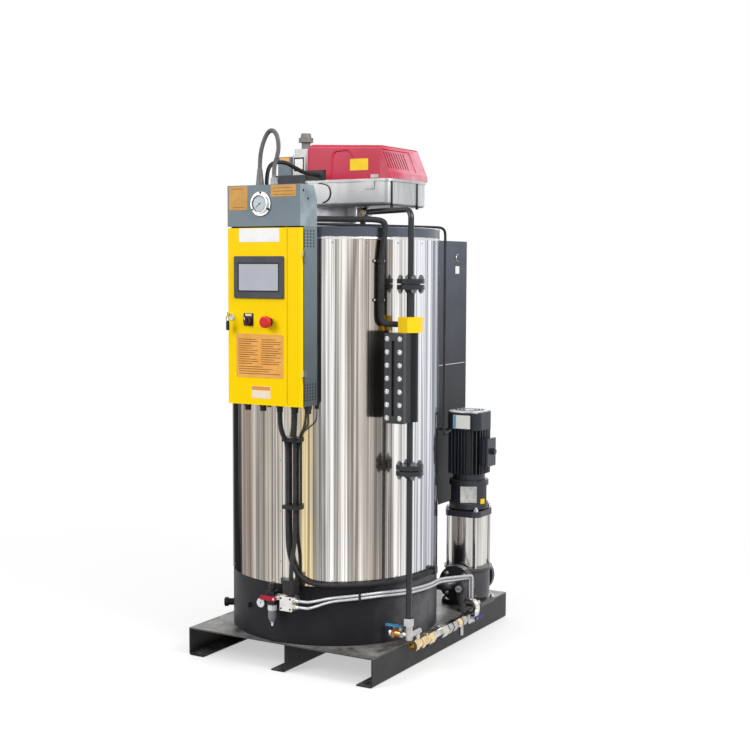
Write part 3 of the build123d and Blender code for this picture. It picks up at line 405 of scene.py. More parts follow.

# Jacket: mirror-polished stainless sheet wrapped round the insulation. The thin sheet is never
# quite flat, so its bump bends what it mirrors; the upright wavy streaks and the bands of light and
# dark round it are painted reflections in its colour, and painted shade darkens it toward its foot.
jacket_radius = 0.388
jacket_mirror = bpy.data.materials.new("jacket_mirror")
jacket_mirror.use_nodes = True
tree = jacket_mirror.node_tree
shader = tree.nodes["Principled BSDF"]
shader.inputs["Metallic"].default_value = 0.92
where = add(tree, "ShaderNodeTexCoord")
spread = add(tree, "ShaderNodeSeparateXYZ", {0: where.outputs["Object"]})
turned = value_of(tree, "ARCTAN2", spread.outputs["X"],
                  value_of(tree, "MULTIPLY", spread.outputs["Y"], -1.0))
arc = value_of(tree, "MULTIPLY", turned, jacket_radius)


def streaks(across, upright, seed, detail, twist):
    vector = add(tree, "ShaderNodeCombineXYZ", {0: value_of(tree, "MULTIPLY", arc, across),
                                                1: value_of(tree, "MULTIPLY", spread.outputs["Z"], upright),
                                                2: seed})
    return add(tree, "ShaderNodeTexNoise", {"Vector": vector.outputs[0], "Scale": 1.0, "Detail": detail,
                                            "Distortion": twist}).outputs["Fac"]


broad = streaks(9.0, 0.35, 2.7, 2.0, 0.35)
narrow = streaks(52.0, 0.45, 8.1, 3.0, 0.2)
hair = streaks(170.0, 0.6, 5.3, 2.0, 0.1)
sway = streaks(1.5, 1.4, 4.4, 2.0, 0.0)
turned_degrees = value_of(tree, "MULTIPLY", turned, 180 / math.pi)
bend = value_of(tree, "MULTIPLY", value_of(tree, "SUBTRACT", sway, 0.5), 9.0)
ripple = value_of(tree, "MULTIPLY", value_of(tree, "SUBTRACT", narrow, 0.5), 5.0)
swayed = value_of(tree, "ADD", value_of(tree, "ADD", turned_degrees, bend), ripple)
# Painted reflections: a tone for each angle round the front, in degrees from the front toward the right.
front_painted_reflections = ((-58, (178, 174, 170)), (-47, (150, 148, 147)), (-41, (50, 50, 53)), (-35, (58, 58, 61)),
               (-30, (158, 154, 152)), (-23, (180, 163, 149)), (-16, (176, 170, 164)),
               (-11, (146, 140, 132)), (-6, (198, 190, 178)), (-2.5, (228, 219, 209)), (1, (180, 173, 166)),
               (5, (206, 201, 195)), (11, (208, 200, 182)), (15, (208, 189, 142)), (18.5, (208, 190, 154)),
               (21.5, (168, 165, 162)), (24.5, (170, 167, 164)), (27.5, (250, 248, 244)),
               (30.5, (210, 207, 202)), (33.5, (228, 225, 220)), (37.5, (224, 219, 212)),
               (41.2, (142, 134, 127)), (44.3, (214, 206, 199)), (47, (170, 162, 155)),
               (52, (160, 151, 144)), (61, (152, 146, 141)), (64, (234, 231, 228)), (72, (198, 196, 195)),
               (83, (224, 226, 232)), (95, (194, 196, 203)), (107, (196, 198, 206)), (113, (112, 113, 119)))
tone_start, tone_end = front_painted_reflections[0][0], front_painted_reflections[-1][0]
tone_place = ranged(tree, swayed, tone_start, tone_end)
front_reflection_ramp = add(tree, "ShaderNodeValToRGB", {0: tone_place})
stops = front_reflection_ramp.color_ramp.elements
stops[0].color = srgb(*front_painted_reflections[0][1])
stops[1].color = srgb(*front_painted_reflections[-1][1])
for degrees, tone in front_painted_reflections[1:-1]:
    stops.new((degrees - tone_start) / (tone_end - tone_start)).color = srgb(*tone)
blended = value_of(tree, "ADD", value_of(tree, "MULTIPLY", broad, 0.55),
                   value_of(tree, "MULTIPLY", narrow, 0.45))
# Painted reflections round the back: streaky tones from blended noise.
back_reflection_ramp = add(tree, "ShaderNodeValToRGB", {0: blended})
stops = back_reflection_ramp.color_ramp.elements
stops[0].position, stops[0].color = 0.36, srgb(80, 78, 78)
stops[1].position, stops[1].color = 0.64, srgb(244, 244, 246)
back_painted_reflections = ((0.43, (150, 142, 136)), (0.49, (204, 198, 192)), (0.54, (234, 232, 230)),
              (0.59, (206, 208, 212)))
for position, tone in back_painted_reflections:
    stops.new(position).color = srgb(*tone)
rear = value_of(tree, "MAXIMUM", value_of(tree, "GREATER_THAN", swayed, tone_end),
                value_of(tree, "LESS_THAN", swayed, tone_start))
painted_reflection = mixed(tree, rear, front_reflection_ramp.outputs[0], back_reflection_ramp.outputs[0])
# Painted reflection streaks: narrow and hair-fine noise scale the tones up and down.
painted_streak_and_shade_share = value_of(tree, "MULTIPLY", ranged(tree, narrow, 0.36, 0.64, 0.6, 1.28),
                        ranged(tree, hair, 0.36, 0.62, 0.5, 1.26))
# Painted shade: the sheet is darker toward its foot and brighter higher up.
foot_shade_start, foot_shade_end = 0.33, 1.5
painted_streak_and_shade_share = value_of(tree, "MULTIPLY", painted_streak_and_shade_share,
                        ranged(tree, spread.outputs["Z"], foot_shade_start, foot_shade_end, 1.02, 1.3))
lined = add(tree, "ShaderNodeVectorMath", {0: painted_reflection, "Scale": painted_streak_and_shade_share}, operation="SCALE")
lined = add(tree, "ShaderNodeVectorMath", {0: lined.outputs[0], 1: (0.96, 0.96, 0.97)}, operation="MINIMUM")
tree.links.new(lined.outputs[0], shader.inputs["Base Color"])
tree.links.new(lined.outputs[0], shader.inputs["Specular Tint"])
tree.links.new(ranged(tree, narrow, 0.3, 0.7, 0.06, 0.16), shader.inputs["Roughness"])
dented = add(tree, "ShaderNodeBump", {"Height": broad, "Strength": 0.2, "Distance": 0.004})
tree.links.new(dented.outputs[0], shader.inputs["Normal"])
dress(jacket_mirror, "cladding")


# Jacket seam and trims: an upright overlap strip at the front between two shadow lines, a column of
# rivets on it, a rolled bright edge under the lid, and rivets round both ends of the sheet.
east, north, up, front = Vector((1, 0, 0)), Vector((0, 1, 0)), Vector((0, 0, 1)), Vector((0, -1, 0))


def piece_of(name, shape, material, body, smooth=False):
    bmesh.ops.recalc_face_normals(shape, faces=shape.faces)
    mesh = bpy.data.meshes.new(name)
    shape.to_mesh(mesh)
    shape.free()
    mesh.materials.append(material)
    for face in mesh.polygons:
        face.use_smooth = smooth
    return carried(bpy.data.objects.new(name, mesh), body)


def lathe(shape, origin, axis, profile, sides=48, start=0.0, sweep=360.0):
    """Turns a profile of (radius, height) about an axis; radius 0 closes an end."""
    axis = Vector(axis).normalized()
    across = axis.orthogonal().normalized() if abs(axis.z) < 0.9 else east
    beside = axis.cross(across)
    whole = sweep >= 360
    count = sides if whole else sides + 1
    rings = []
    for radius, height in profile:
        if radius == 0:
            rings.append([shape.verts.new(Vector(origin) + axis * height)])
            continue
        ring = []
        for i in range(count):
            a = math.radians(start + sweep * i / sides)
            ring.append(shape.verts.new(Vector(origin) + axis * height
                                        + (across * math.cos(a) + beside * math.sin(a)) * radius))
        rings.append(ring)
    for low, high in zip(rings, rings[1:]):
        for i in range(sides):
            j = (i + 1) % count
            if len(low) == 1:
                shape.faces.new((low[0], high[i], high[j]))
            elif len(high) == 1:
                shape.faces.new((low[i], low[j], high[0]))
            else:
                shape.faces.new((low[i], low[j], high[j], high[i]))
    if not whole:
        shape.faces.new([r[0] for r in rings])
        shape.faces.new([r[-1] for r in reversed(rings)])
    return shape


def tube_profile(inner, outer, height):
    return [(inner, 0), (outer, 0), (outer, height), (inner, height), (inner, 0)]


bright_steel = finish("bright_steel", (0.80, 0.80, 0.81, 1), (0.66, 0.65, 0.65, 1), (0.14, 0.3), patch=20,
                      fine=700, relief=0.05, Metallic=1.0)
rolled_profile = [(0.3881, 0), (0.3893, 0.001), (0.3898, 0.004), (0.3893, 0.007), (0.3881, 0.008),
                  (0.3881, 0)]
rolled_edge = lathe(bmesh.new(), (0, 0, 1.5375), up, rolled_profile, sides=160)
piece_of("jacket_rolled_edge", rolled_edge, bright_steel, "boiler", smooth=True)
seam = lathe(bmesh.new(), (0, 0, 0.330), up, tube_profile(jacket_radius, 0.3890, 1.206), sides=8,
             start=-93.5, sweep=6.0)
piece_of("jacket_seam_strip", seam, jacket_mirror, "boiler")
seam_shadow = finish("seam_shadow", srgb(40, 38, 38), srgb(30, 28, 28), (0.4, 0.6), patch=30,
                     Specular_IOR_Level=0.1)
seam_lines = bmesh.new()
for start in (-93.8, -87.5):
    lathe(seam_lines, (0, 0, 0.332), up, tube_profile(jacket_radius, 0.3883, 1.202), sides=1, start=start,
          sweep=0.3)
piece_of("jacket_seam_lines", seam_lines, seam_shadow, "boiler")


def lifted(tree, shape, height):
    spot = add(tree, "ShaderNodeCombineXYZ", {2: height})
    return add(tree, "GeometryNodeTransform", {"Geometry": shape,
                                               "Translation": spot.outputs[0]}).outputs[0]


def end_on_marks(tree, shape, given, out):
    aim = add(tree, "GeometryNodeInputNamedAttribute", {"Name": "aim"}, data_type="FLOAT_VECTOR")
    turn = add(tree, "FunctionNodeAlignRotationToVector", {"Vector": aim.outputs[0]}, axis="Z")
    placed = add(tree, "GeometryNodeInstanceOnPoints", {"Points": given["Geometry"], "Instance": shape,
                                                        "Rotation": turn.outputs[0]})
    end_tree(tree, placed.outputs[0], given, out)


dome_heads, given, out = grower("dome_heads", [("Radius", "Float", 0.004), ("Height", "Float", 0.002),
                                               ("Washer Radius", "Float", 0.006),
                                               ("Washer Height", "Float", 0.0005), ("Sides", "Int", 12)])
washer = add(dome_heads, "GeometryNodeMeshCylinder", {"Vertices": given["Sides"],
                                                      "Radius": given["Washer Radius"],
                                                      "Depth": given["Washer Height"]})
head = add(dome_heads, "GeometryNodeJoinGeometry")
half = value_of(dome_heads, "MULTIPLY", given["Washer Height"], 0.5)
dome_heads.links.new(lifted(dome_heads, washer.outputs[0], half), head.inputs[0])
foot = given["Washer Height"]
for foot_share, top_share, height_share in ((1.0, 0.84, 0.55), (0.84, 0.38, 0.45)):
    height = value_of(dome_heads, "MULTIPLY", given["Height"], height_share)
    cone = add(dome_heads, "GeometryNodeMeshCone",
               {"Vertices": given["Sides"], "Depth": height,
                "Radius Bottom": value_of(dome_heads, "MULTIPLY", given["Radius"], foot_share),
                "Radius Top": value_of(dome_heads, "MULTIPLY", given["Radius"], top_share)})
    dome_heads.links.new(lifted(dome_heads, cone.outputs[0], foot), head.inputs[0])
    foot = value_of(dome_heads, "ADD", foot, height)
end_on_marks(dome_heads, head.outputs[0], given, out)


def marks(places):
    """A mesh of loose points, each with the direction that its fastener looks."""
    mesh = bpy.data.meshes.new("marks")
    mesh.from_pydata([tuple(p) for p, _ in places], [], [])
    aims = mesh.attributes.new("aim", "FLOAT_VECTOR", "POINT")
    aims.data.foreach_set("vector", [c for _, a in places for c in a])
    return mesh


def on_shell(degrees, radius, height):
    a = math.radians(degrees)
    outward = Vector((math.sin(a), -math.cos(a), 0))
    return outward * radius + Vector((0, 0, height)), outward


def domes(name, places, radius, height, washer, washer_height, sides, material):
    sizes = {"Radius": radius, "Height": height, "Washer Radius": washer, "Washer Height": washer_height,
             "Sides": sides, "Material": material}
    return grow(name, marks(places), dome_heads, sizes, "boiler")


rivet_places = [on_shell(1.6, 0.3889, 0.40 + 0.18 * i) for i in range(7)]
rivet_places += [on_shell(a, jacket_radius, z) for z in (0.340, 1.526) for a in range(12, 340, 18)]
rivet_dull = finish("rivet_dull", (0.30, 0.30, 0.31, 1), (0.20, 0.20, 0.21, 1), (0.3, 0.45), patch=60,
                    Metallic=1.0)
domes("jacket_rivets", rivet_places, 0.0026, 0.0014, 0.0030, 0.0003, 10, rivet_dull)

# Lid: a flat spun cover in glossy slate paint. Its rim is the dark band that shows above the
# jacket's bright edge.
slate_gloss = finish("slate_gloss", srgb(70, 78, 92), srgb(58, 65, 78), (0.14, 0.28), patch=5, fine=260,
                     relief=0.06, dusty=0.15, Specular_IOR_Level=0.6)
dress(slate_gloss, "top_lid")

# Cabinet case and rails: folded sheet in fine-textured grey powder coat, painted darker toward its
# foot as painted shade, with rows of punched vent holes near the top and foot of both sides, drawn
# as thin dark discs of painted shade.
powder_grey = finish("powder_grey", srgb(82, 90, 93), srgb(74, 82, 85), (0.4, 0.52), patch=8, fine=1500,
                     relief=0.2)
# Painted shade: the case darkens from Z 1.7 down to Z 1.0.
retone(powder_grey, past(powder_grey, "Z", 1.0, 1.7), srgb(126, 140, 148), srgb(114, 128, 136))
dress(powder_grey, "cabinet_case")
dress(skirt_black, "cabinet_rails")
hole_dark = finish("hole_dark", srgb(26, 29, 32), srgb(18, 20, 22), (0.6, 0.8), patch=40,
                   Specular_IOR_Level=0.0)
round_dots, given, out = grower("round_dots", [("Radius", "Float", 0.002), ("Depth", "Float", 0.0004),
                                               ("Sides", "Int", 10)])
dot = add(round_dots, "GeometryNodeMeshCylinder", {"Vertices": given["Sides"], "Radius": given["Radius"],
                                                   "Depth": given["Depth"]})
end_on_marks(round_dots, dot.outputs[0], given, out)
case_left, case_right = (corner.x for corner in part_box("instrument_box"))
vent_front, vent_rise, vent_rows = -0.480, 0.0105, 6
vents = []
for side, outward in ((case_right, east), (case_left, -east)):
    for columns, pitch, lowest in ((4, 0.0185, 1.510), (5, 0.0165, 0.988)):
        vents += [(Vector((side, vent_front + pitch * i, lowest + vent_rise * k)), outward)
                  for i in range(columns) for k in range(vent_rows)]
# Painted shade: thin dark discs stand for the holes' shaded insides.
grow("case_vent_holes", marks(vents), round_dots, {"Radius": 0.0033, "Depth": 0.0004,
                                                   "Material": hole_dark}, "boiler")

# Instrument box: grey box above the door with its right cheek painted paler as painted light, two
# screws in that cheek and two bare orange plates on its face, printed with plain rules only.
box_grey = finish("box_grey", srgb(120, 133, 141), srgb(110, 123, 131), (0.4, 0.52), patch=8, fine=1500,
                  relief=0.2)
# Painted light: the face toward the right is paler.
retone(box_grey, past(box_grey, "X", case_right - 0.0005), srgb(158, 171, 178))
dress(box_grey, "instrument_box")
screw_places = [(Vector((case_right, y, z)), east) for y, z in ((-0.488, 1.697), (-0.460, 1.671))]
domes("box_screws", screw_places, 0.0034, 0.002, 0.0042, 0.0004, 12, hole_dark)


def plate(shape, centre, along, upward, width, height, thick, corner, steps=5):
    """A rounded rectangular plate standing on the surface at centre, its front edge eased."""
    along, upward = Vector(along), Vector(upward)
    out = along.cross(upward)
    ease = min(thick * 0.5, corner * 0.5)

    def outline(shrink, lift):
        ring = []
        for sx, sy, a0 in ((1, 1, 0), (-1, 1, 90), (-1, -1, 180), (1, -1, 270)):
            for i in range(steps + 1):
                a = math.radians(a0 + 90 * i / steps)
                r = corner - shrink
                u = sx * (width / 2 - corner) + r * math.cos(a)
                v = sy * (height / 2 - corner) + r * math.sin(a)
                ring.append(shape.verts.new(Vector(centre) + along * u + upward * v + out * lift))
        return ring

    rings = [outline(0, 0), outline(0, thick - ease), outline(ease, thick)]
    for low, high in zip(rings, rings[1:]):
        for i in range(len(low)):
            j = (i + 1) % len(low)
            shape.faces.new((low[i], low[j], high[j], high[i]))
    shape.faces.new(rings[-1])
    shape.faces.new(list(reversed(rings[0])))
    return shape


def front_plate(name, x0, x1, z0, z1, y, thick, corner, material, body):
    shape = plate(bmesh.new(), mm((x0 + x1) / 2, y, (z0 + z1) / 2), east, up, (x1 - x0) / 1000,
                  (z1 - z0) / 1000, thick / 1000, corner / 1000)
    return piece_of(name, shape, material, body)


label_orange = finish("label_orange", srgb(238, 176, 92), srgb(228, 160, 74), (0.35, 0.5), patch=25,
                      fine=500, relief=0.03)
aged_orange = finish("aged_orange", srgb(206, 156, 82), srgb(194, 141, 66), (0.35, 0.5), patch=25, fine=500,
                     relief=0.03)
rule_brown = finish("rule_brown", srgb(132, 80, 32), srgb(114, 68, 28), (0.5, 0.6), patch=50)
box_face = -507.0
front_plate("box_plate_left", -120, -42, 1634, 1715, box_face, 0.6, 1.5, aged_orange, "boiler")
front_plate("box_plate_right", 54, 156, 1677, 1716, box_face, 0.6, 1.5, aged_orange, "boiler")

rule_bars, given, out = grower("rule_bars", [("Height", "Float", 0.0012), ("Depth", "Float", 0.0003)])
stretch = add(rule_bars, "GeometryNodeInputNamedAttribute", {"Name": "span"}, data_type="FLOAT")
size = add(rule_bars, "ShaderNodeCombineXYZ", {0: 1.0, 1: given["Depth"], 2: given["Height"]})
bar = add(rule_bars, "GeometryNodeMeshCube", {"Size": size.outputs[0]})
scale = add(rule_bars, "ShaderNodeCombineXYZ", {0: stretch.outputs[0], 1: 1.0, 2: 1.0})
placed = add(rule_bars, "GeometryNodeInstanceOnPoints",
             {"Points": given["Geometry"], "Instance": bar.outputs[0], "Scale": scale.outputs[0]})
end_tree(rule_bars, placed.outputs[0], given, out)


def rules(name, rows, y, material, body, height=1.2):
    mesh = bpy.data.meshes.new("rules")
    mesh.from_pydata([tuple(mm((x0 + x1) / 2, y, z)) for x0, x1, z in rows], [], [])
    spans = mesh.attributes.new("span", "FLOAT", "POINT")
    spans.data.foreach_set("value", [(x1 - x0) / 1000 for x0, x1, _ in rows])
    return grow(name, mesh, rule_bars, {"Height": height / 1000, "Depth": 0.0003, "Material": material},
                body)


rules("box_plate_rules", [(-108, -58, 1706), (-105, -56, 1643), (64, 140, 1706), (64, 146, 1695),
                          (64, 150, 1684)], box_face - 0.6, rule_brown, "boiler", height=1.6)

# Pressure gauge: a round gauge let into the box, with a pressed steel flange held by three screws
# and a pale dial inside a dark ring of painted shade, a scale and a black pointer.
dial_x, dial_z = 15.0, 1654.0
dial_white = finish("dial_white", srgb(222, 228, 230), srgb(212, 219, 222), (0.3, 0.4), patch=30,
                    relief=0.02)
dial_grey = finish("dial_grey", srgb(196, 206, 209), srgb(184, 195, 199), (0.3, 0.4), patch=30, relief=0.02)
ink_black = finish("ink_black", srgb(24, 25, 28), srgb(16, 16, 18), (0.4, 0.5), patch=40)
dress(bright_steel, "pressure_gauge")


def front_disc(name, x, z, y, radius, thick, material, body):
    shape = lathe(bmesh.new(), mm(x, y, z), front, [(0, 0), (radius / 1000, 0),
                                                    (radius / 1000, thick / 1000 * 0.7),
                                                    (radius / 1000 * 0.985, thick / 1000),
                                                    (0, thick / 1000)], sides=56)
    return piece_of(name, shape, material, body)


def dial_marks(name, x, z, y, radius, count, length, width, body):
    shape = bmesh.new()
    for i in range(count + 1):
        a = math.radians(225 - 270 * i / count)
        long = length * (1.0 if i % 5 == 0 else 0.55)
        outward = Vector((math.cos(a), 0, math.sin(a)))
        plate(shape, mm(x, y, z) + outward * (radius - long / 2) / 1000, front.cross(outward), outward,
              width * (1.6 if i % 5 == 0 else 1) / 1000, long / 1000, 0.0002, width * 0.3 / 1000, steps=1)
    return piece_of(name, shape, ink_black, body)


def pointer(name, x, z, y, degrees, length, tail, width, body):
    a = math.radians(degrees)
    outward = Vector((math.cos(a), 0, math.sin(a)))
    shape = plate(bmesh.new(), mm(x, y, z) + outward * (length - tail) / 2000, front.cross(outward),
                  outward, width / 1000, (length + tail) / 1000, 0.0008, width * 0.45 / 1000, steps=3)
    lathe(shape, mm(x, y, z), front, [(0, 0), (width * 1.5 / 1000, 0), (width * 1.5 / 1000, 0.0012),
                                      (0, 0.0016)], sides=16)
    return piece_of(name, shape, ink_black, body)


front_disc("dial_face", dial_x, dial_z, box_face - 10, 28.9, 0.4, dial_grey, "boiler")
# Painted shade: a thin dark ring round the dial's edge.
dial_shade_ring = lathe(bmesh.new(), mm(dial_x, box_face - 10.4, dial_z), front,
                  tube_profile(0.0268, 0.0288, 0.0006), sides=56)
piece_of("dial_shade_ring", dial_shade_ring, ink_black, "boiler")
dial_marks("dial_scale", dial_x, dial_z, box_face - 10.4, 26.5, 40, 5.0, 0.6, "boiler")
pointer("dial_pointer", dial_x, dial_z, box_face - 10.7, 225 - 270 * 0.02, 21, 7, 1.7, "boiler")
dial_bolts = [(mm(dial_x + 37 * math.cos(a), box_face - 6, dial_z + 37 * math.sin(a)), front)
              for a in map(math.radians, (90, 210, 330))]
domes("dial_screws", dial_bolts, 0.0040, 0.0018, 0.0044, 0.0003, 12, hole_dark)


# Door: a folded steel pan in golden yellow gloss powder with one upright groove, darkened by a
# strip of painted shade in its floor, on two lift-off hinges, with a bare white name place and bare
# notice plates stuck on.
def zoned(name, first, zones, gloss):
    """A finish whose colour, shade and metal change where an axis passes a limit."""
    colour, shade, metal = first
    made = finish(name, colour, shade, gloss, patch=25, fine=700, relief=0.1, Metallic=metal)
    for axis, limit, *tones in zones:
        retone(made, past(made, axis, limit), *tones)
    return made


door_yellow = finish("door_yellow", srgb(255, 216, 0), srgb(253, 210, 0), (0.26, 0.36), patch=4, fine=700,
                     relief=0.06, Specular_IOR_Level=0.12)
dress(door_yellow, "cabinet_door")
zinc_tones = (0.74, 0.74, 0.75, 1), (0.6, 0.6, 0.62, 1)
zinc_plate = finish("zinc_plate", *zinc_tones, (0.22, 0.38), patch=40, fine=900, relief=0.06, Metallic=1.0)
hardware_tones = zoned("hardware_tones", (*zinc_tones, 1.0),
                       [("X", 0.165, srgb(240, 222, 140), srgb(214, 190, 96), 0.0),
                        ("X", 0.1775, srgb(112, 121, 127), srgb(100, 109, 115), 0.0)], (0.22, 0.38))
dress(hardware_tones, "door_hardware")
paper_white = finish("paper_white", srgb(246, 246, 244), srgb(238, 238, 237), (0.4, 0.5), patch=20,
                     relief=0.02)
cream_print = finish("cream_print", srgb(240, 226, 200), srgb(232, 214, 184), (0.4, 0.5), patch=25,
                     relief=0.02)
warm_band = finish("warm_band", srgb(226, 150, 70), srgb(216, 138, 60), (0.4, 0.5), patch=25, relief=0.02)
groove_shade_amber = finish("groove_shade_amber", srgb(226, 184, 0), srgb(216, 174, 0), (0.5, 0.6), patch=30,
                      Specular_IOR_Level=0.1)
# Painted shade: a darker amber strip laid in the groove.
front_plate("door_groove_shade", 114.7, 121.3, 976, 1575, box_face + 1.2, 0.2, 0.5, groove_shade_amber, "door")
front_plate("door_name_place", -78, 88, 1525, 1571, box_face, 0.6, 3, paper_white, "door")
front_plate("door_notice", -91, 106, 1060, 1211, box_face, 0.6, 8, label_orange, "door")
front_plate("door_small_plate", -27, 51, 989, 1032, box_face, 0.5, 1.5, cream_print, "door")
front_plate("door_small_band", -26, 50, 1018, 1031, box_face - 0.5, 0.2, 1, warm_band, "door")
row_ends = (54, 60, 40, 58, 46, 60, 52, 60, 36, 57, 60, 44)
notice_rows = [(-82, -82 + 1.35 * e, 1192 - 7.6 * i) for i, e in enumerate(row_ends)]
notice_rows += [(14, 14 + 1.35 * e, 1192 - 7.6 * i) for i, e in enumerate(reversed(row_ends))]
notice_rows += [(-82, 20, 1098), (-82, 62, 1090), (-80, 48, 1082), (-80, 92, 1074)]
rules("door_notice_rules", notice_rows, box_face - 0.6, rule_brown, "door", height=2.2)

# Touch panel: charcoal moulded bezel let into the door, with a recessed pale screen inside a thin
# dark lip.
bezel_charcoal = finish("bezel_charcoal", srgb(74, 76, 82), srgb(62, 64, 70), (0.38, 0.5), patch=14,
                        fine=1200, relief=0.12)
dress(bezel_charcoal, "touch_panel")
screen_grey = finish("screen_grey", srgb(186, 189, 198), srgb(170, 174, 186), (0.12, 0.2), patch=3, fine=80,
                     relief=0.01, Coat_Weight=0.4, Coat_Roughness=0.06)
front_plate("screen_lip", -80.5, 90.5, 1355.5, 1454.5, box_face - 4.5, 0.4, 1, ink_black, "door")
front_plate("screen_glass", -76, 86, 1360, 1450, box_face - 4.9, 0.4, 1, screen_grey, "door")

# Door fittings: cam lock, black legend plate with a selector knob, and a red mushroom stop button
# on a black collar. The knob and the button move by themselves.
fitting_black = finish("fitting_black", srgb(44, 42, 44), srgb(34, 33, 35), (0.35, 0.5), patch=30, fine=900,
                       relief=0.08)
knob_maroon = finish("knob_maroon", srgb(84, 44, 48), srgb(66, 36, 40), (0.3, 0.45), patch=30, fine=900,
                     relief=0.08)
stop_red = finish("stop_red", srgb(214, 38, 40), srgb(198, 30, 34), (0.2, 0.32), patch=30, fine=600,
                  relief=0.04, Coat_Weight=0.2)
dress(fitting_black, "switch_bases")
dress(knob_maroon, "selector_knob")
dress(stop_red, "e_stop_button")
lock_x, lock_z = -110.0, 1275.0


def eased_profile(radius, height, ease):
    return [(0, 0), (radius - ease, 0), (radius, ease), (radius, height - ease), (radius - ease, height),
            (0, height)]


door_key = plate(bmesh.new(), mm(lock_x, box_face - 3, lock_z), east, up, 0.003, 0.010, 0.016, 0.0012,
                 steps=2)
lathe(door_key, mm(lock_x - 1.5, box_face - 24, lock_z), east, eased_profile(0.0095, 0.003, 0.0005),
      sides=24)
piece_of("door_key", door_key, zinc_plate, "door")
key_tag = lathe(bmesh.new(), mm(lock_x - 0.8, box_face - 25, lock_z - 13), east,
                tube_profile(0.0076, 0.0092, 0.0016), sides=24)
plate(key_tag, mm(lock_x, box_face - 24, lock_z - 37), east, up, 0.014, 0.032, 0.0025, 0.004)
piece_of("door_key_tag", key_tag, ink_black, "door")
front_plate("legend_window", -52, -26, 1272, 1280, box_face - 2, 0.3, 1, cream_print, "door")
front_plate("knob_pointer", -40.2, -37.8, 1258, 1268, box_face - 26, 0.3, 0.8, paper_white, "selector")

# Glands and looms: black nylon glands under the case feed two corrugated looms and a thin lead down
# the jacket, under two clamps. One loom turns round the jacket's foot, the other ends in the coil.
dress(fitting_black, "cable_fittings", "burner_plug")
loom_axis = 0.398
left_loom = [mm(44, -440, 939), mm(44, -440, 905), mm(44.5, -428, 862), mm(46, -396, 826),
             mm(46, -395.3, 770), mm(46, -395.3, 620), mm(46, -395.3, 500), mm(52, -397, 430),
             mm(80, -392, 362), on_shell(17, 0.3995, 0.334)[0]]
left_loom += [on_shell(a, loom_axis / math.cos(math.radians(4.6)), 0.326)[0]
              for a in (25, 34, 43, 52, 61, 70, 79, 88)]
left_loom += [on_shell(95, loom_axis, 0.326)[0]]
right_loom = [mm(108, -440, 939), mm(108, -440, 908), mm(98, -430, 866), mm(76, -394, 828),
              mm(74, -391, 770), mm(74, -391, 620), mm(74, -391, 505), mm(78, -402, 455), mm(82, -428, 412),
              mm(82, -428, 351)]
thin_lead = [mm(161, -440, 939), mm(161, -440, 918), mm(158, -437.5, 897), mm(126, -411.5, 880),
             mm(93, -384.5, 861), mm(91, -382.8, 838), mm(91, -382.8, 720), mm(91, -382.8, 600)]
for name, route, radius in (("loom_to_side", left_loom, 0.009), ("loom_to_coil", right_loom, 0.008),
                            ("loom_thin", thin_lead, 0.0035)):
    loom = ribbed(name, smooth_line(route), radius, 0.0045, 0.0011, 14, conduit_black)
    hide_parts("front_looms")

# Air set: filter regulator with a small dial and a clear bowl, red-levered shut-off, silver
# solenoid valve under a black coil, bolted to the skirt on two brackets.
regulator_black = finish("regulator_black", srgb(42, 44, 50), srgb(32, 34, 40), (0.35, 0.5), patch=30,
                         fine=900, relief=0.1)
nickel = finish("nickel", (0.80, 0.78, 0.75, 1), (0.64, 0.62, 0.60, 1), (0.22, 0.42), patch=40, fine=800,
                relief=0.08, Metallic=1.0)
bowl_clear = zoned("bowl_clear", (srgb(222, 222, 222), srgb(196, 197, 199), 0.3),
                   [("Z", 0.188, srgb(120, 123, 126), srgb(104, 107, 110), 0.0),
                    ("Z", 0.230, srgb(196, 198, 200), srgb(176, 178, 181), 0.0)], (0.1, 0.2))
lever_red = finish("lever_red", srgb(172, 34, 58), srgb(150, 26, 48), (0.35, 0.5), patch=40, fine=900,
                   relief=0.08)
dress(regulator_black, "air_regulator")
dress(bowl_clear, "regulator_bowl")
dress(nickel, "solenoid_valve")
dress(fitting_black, "solenoid_coil")
dress(lever_red, "air_lever")
# Painted highlights: white upright strips round the bowl's collar.
bowl_highlight_strips = bmesh.new()
for degrees in range(0, 360, 30):
    spot, outward = on_shell(degrees, 0.0149, 0.2415)
    plate(bowl_highlight_strips, spot + mm(2, -428, 0), up.cross(outward), up, 0.0034, 0.019, 0.0012, 0.001, steps=2)
piece_of("bowl_highlight_strips", bowl_highlight_strips, paper_white, "boiler")
set_front = -448.0
front_disc("air_dial_rim", -34, 256, set_front, 18.6, 1.0, ink_black, "boiler")
front_disc("air_dial_face", -34, 256, set_front - 1, 16.2, 0.4, dial_white, "boiler")
dial_marks("air_dial_scale", -34, 256, set_front - 1.4, 14.8, 20, 3.4, 0.5, "boiler")
pointer("air_dial_pointer", -34, 256, set_front - 1.6, 60, 12, 4, 1.2, "boiler")
solenoid_corners = [(mm(x, -450, z), front) for x in (53, 91) for z in (248, 284)]
domes("solenoid_screws", solenoid_corners, 0.0036, 0.002, 0.0038, 0.0003, 10, ink_black)

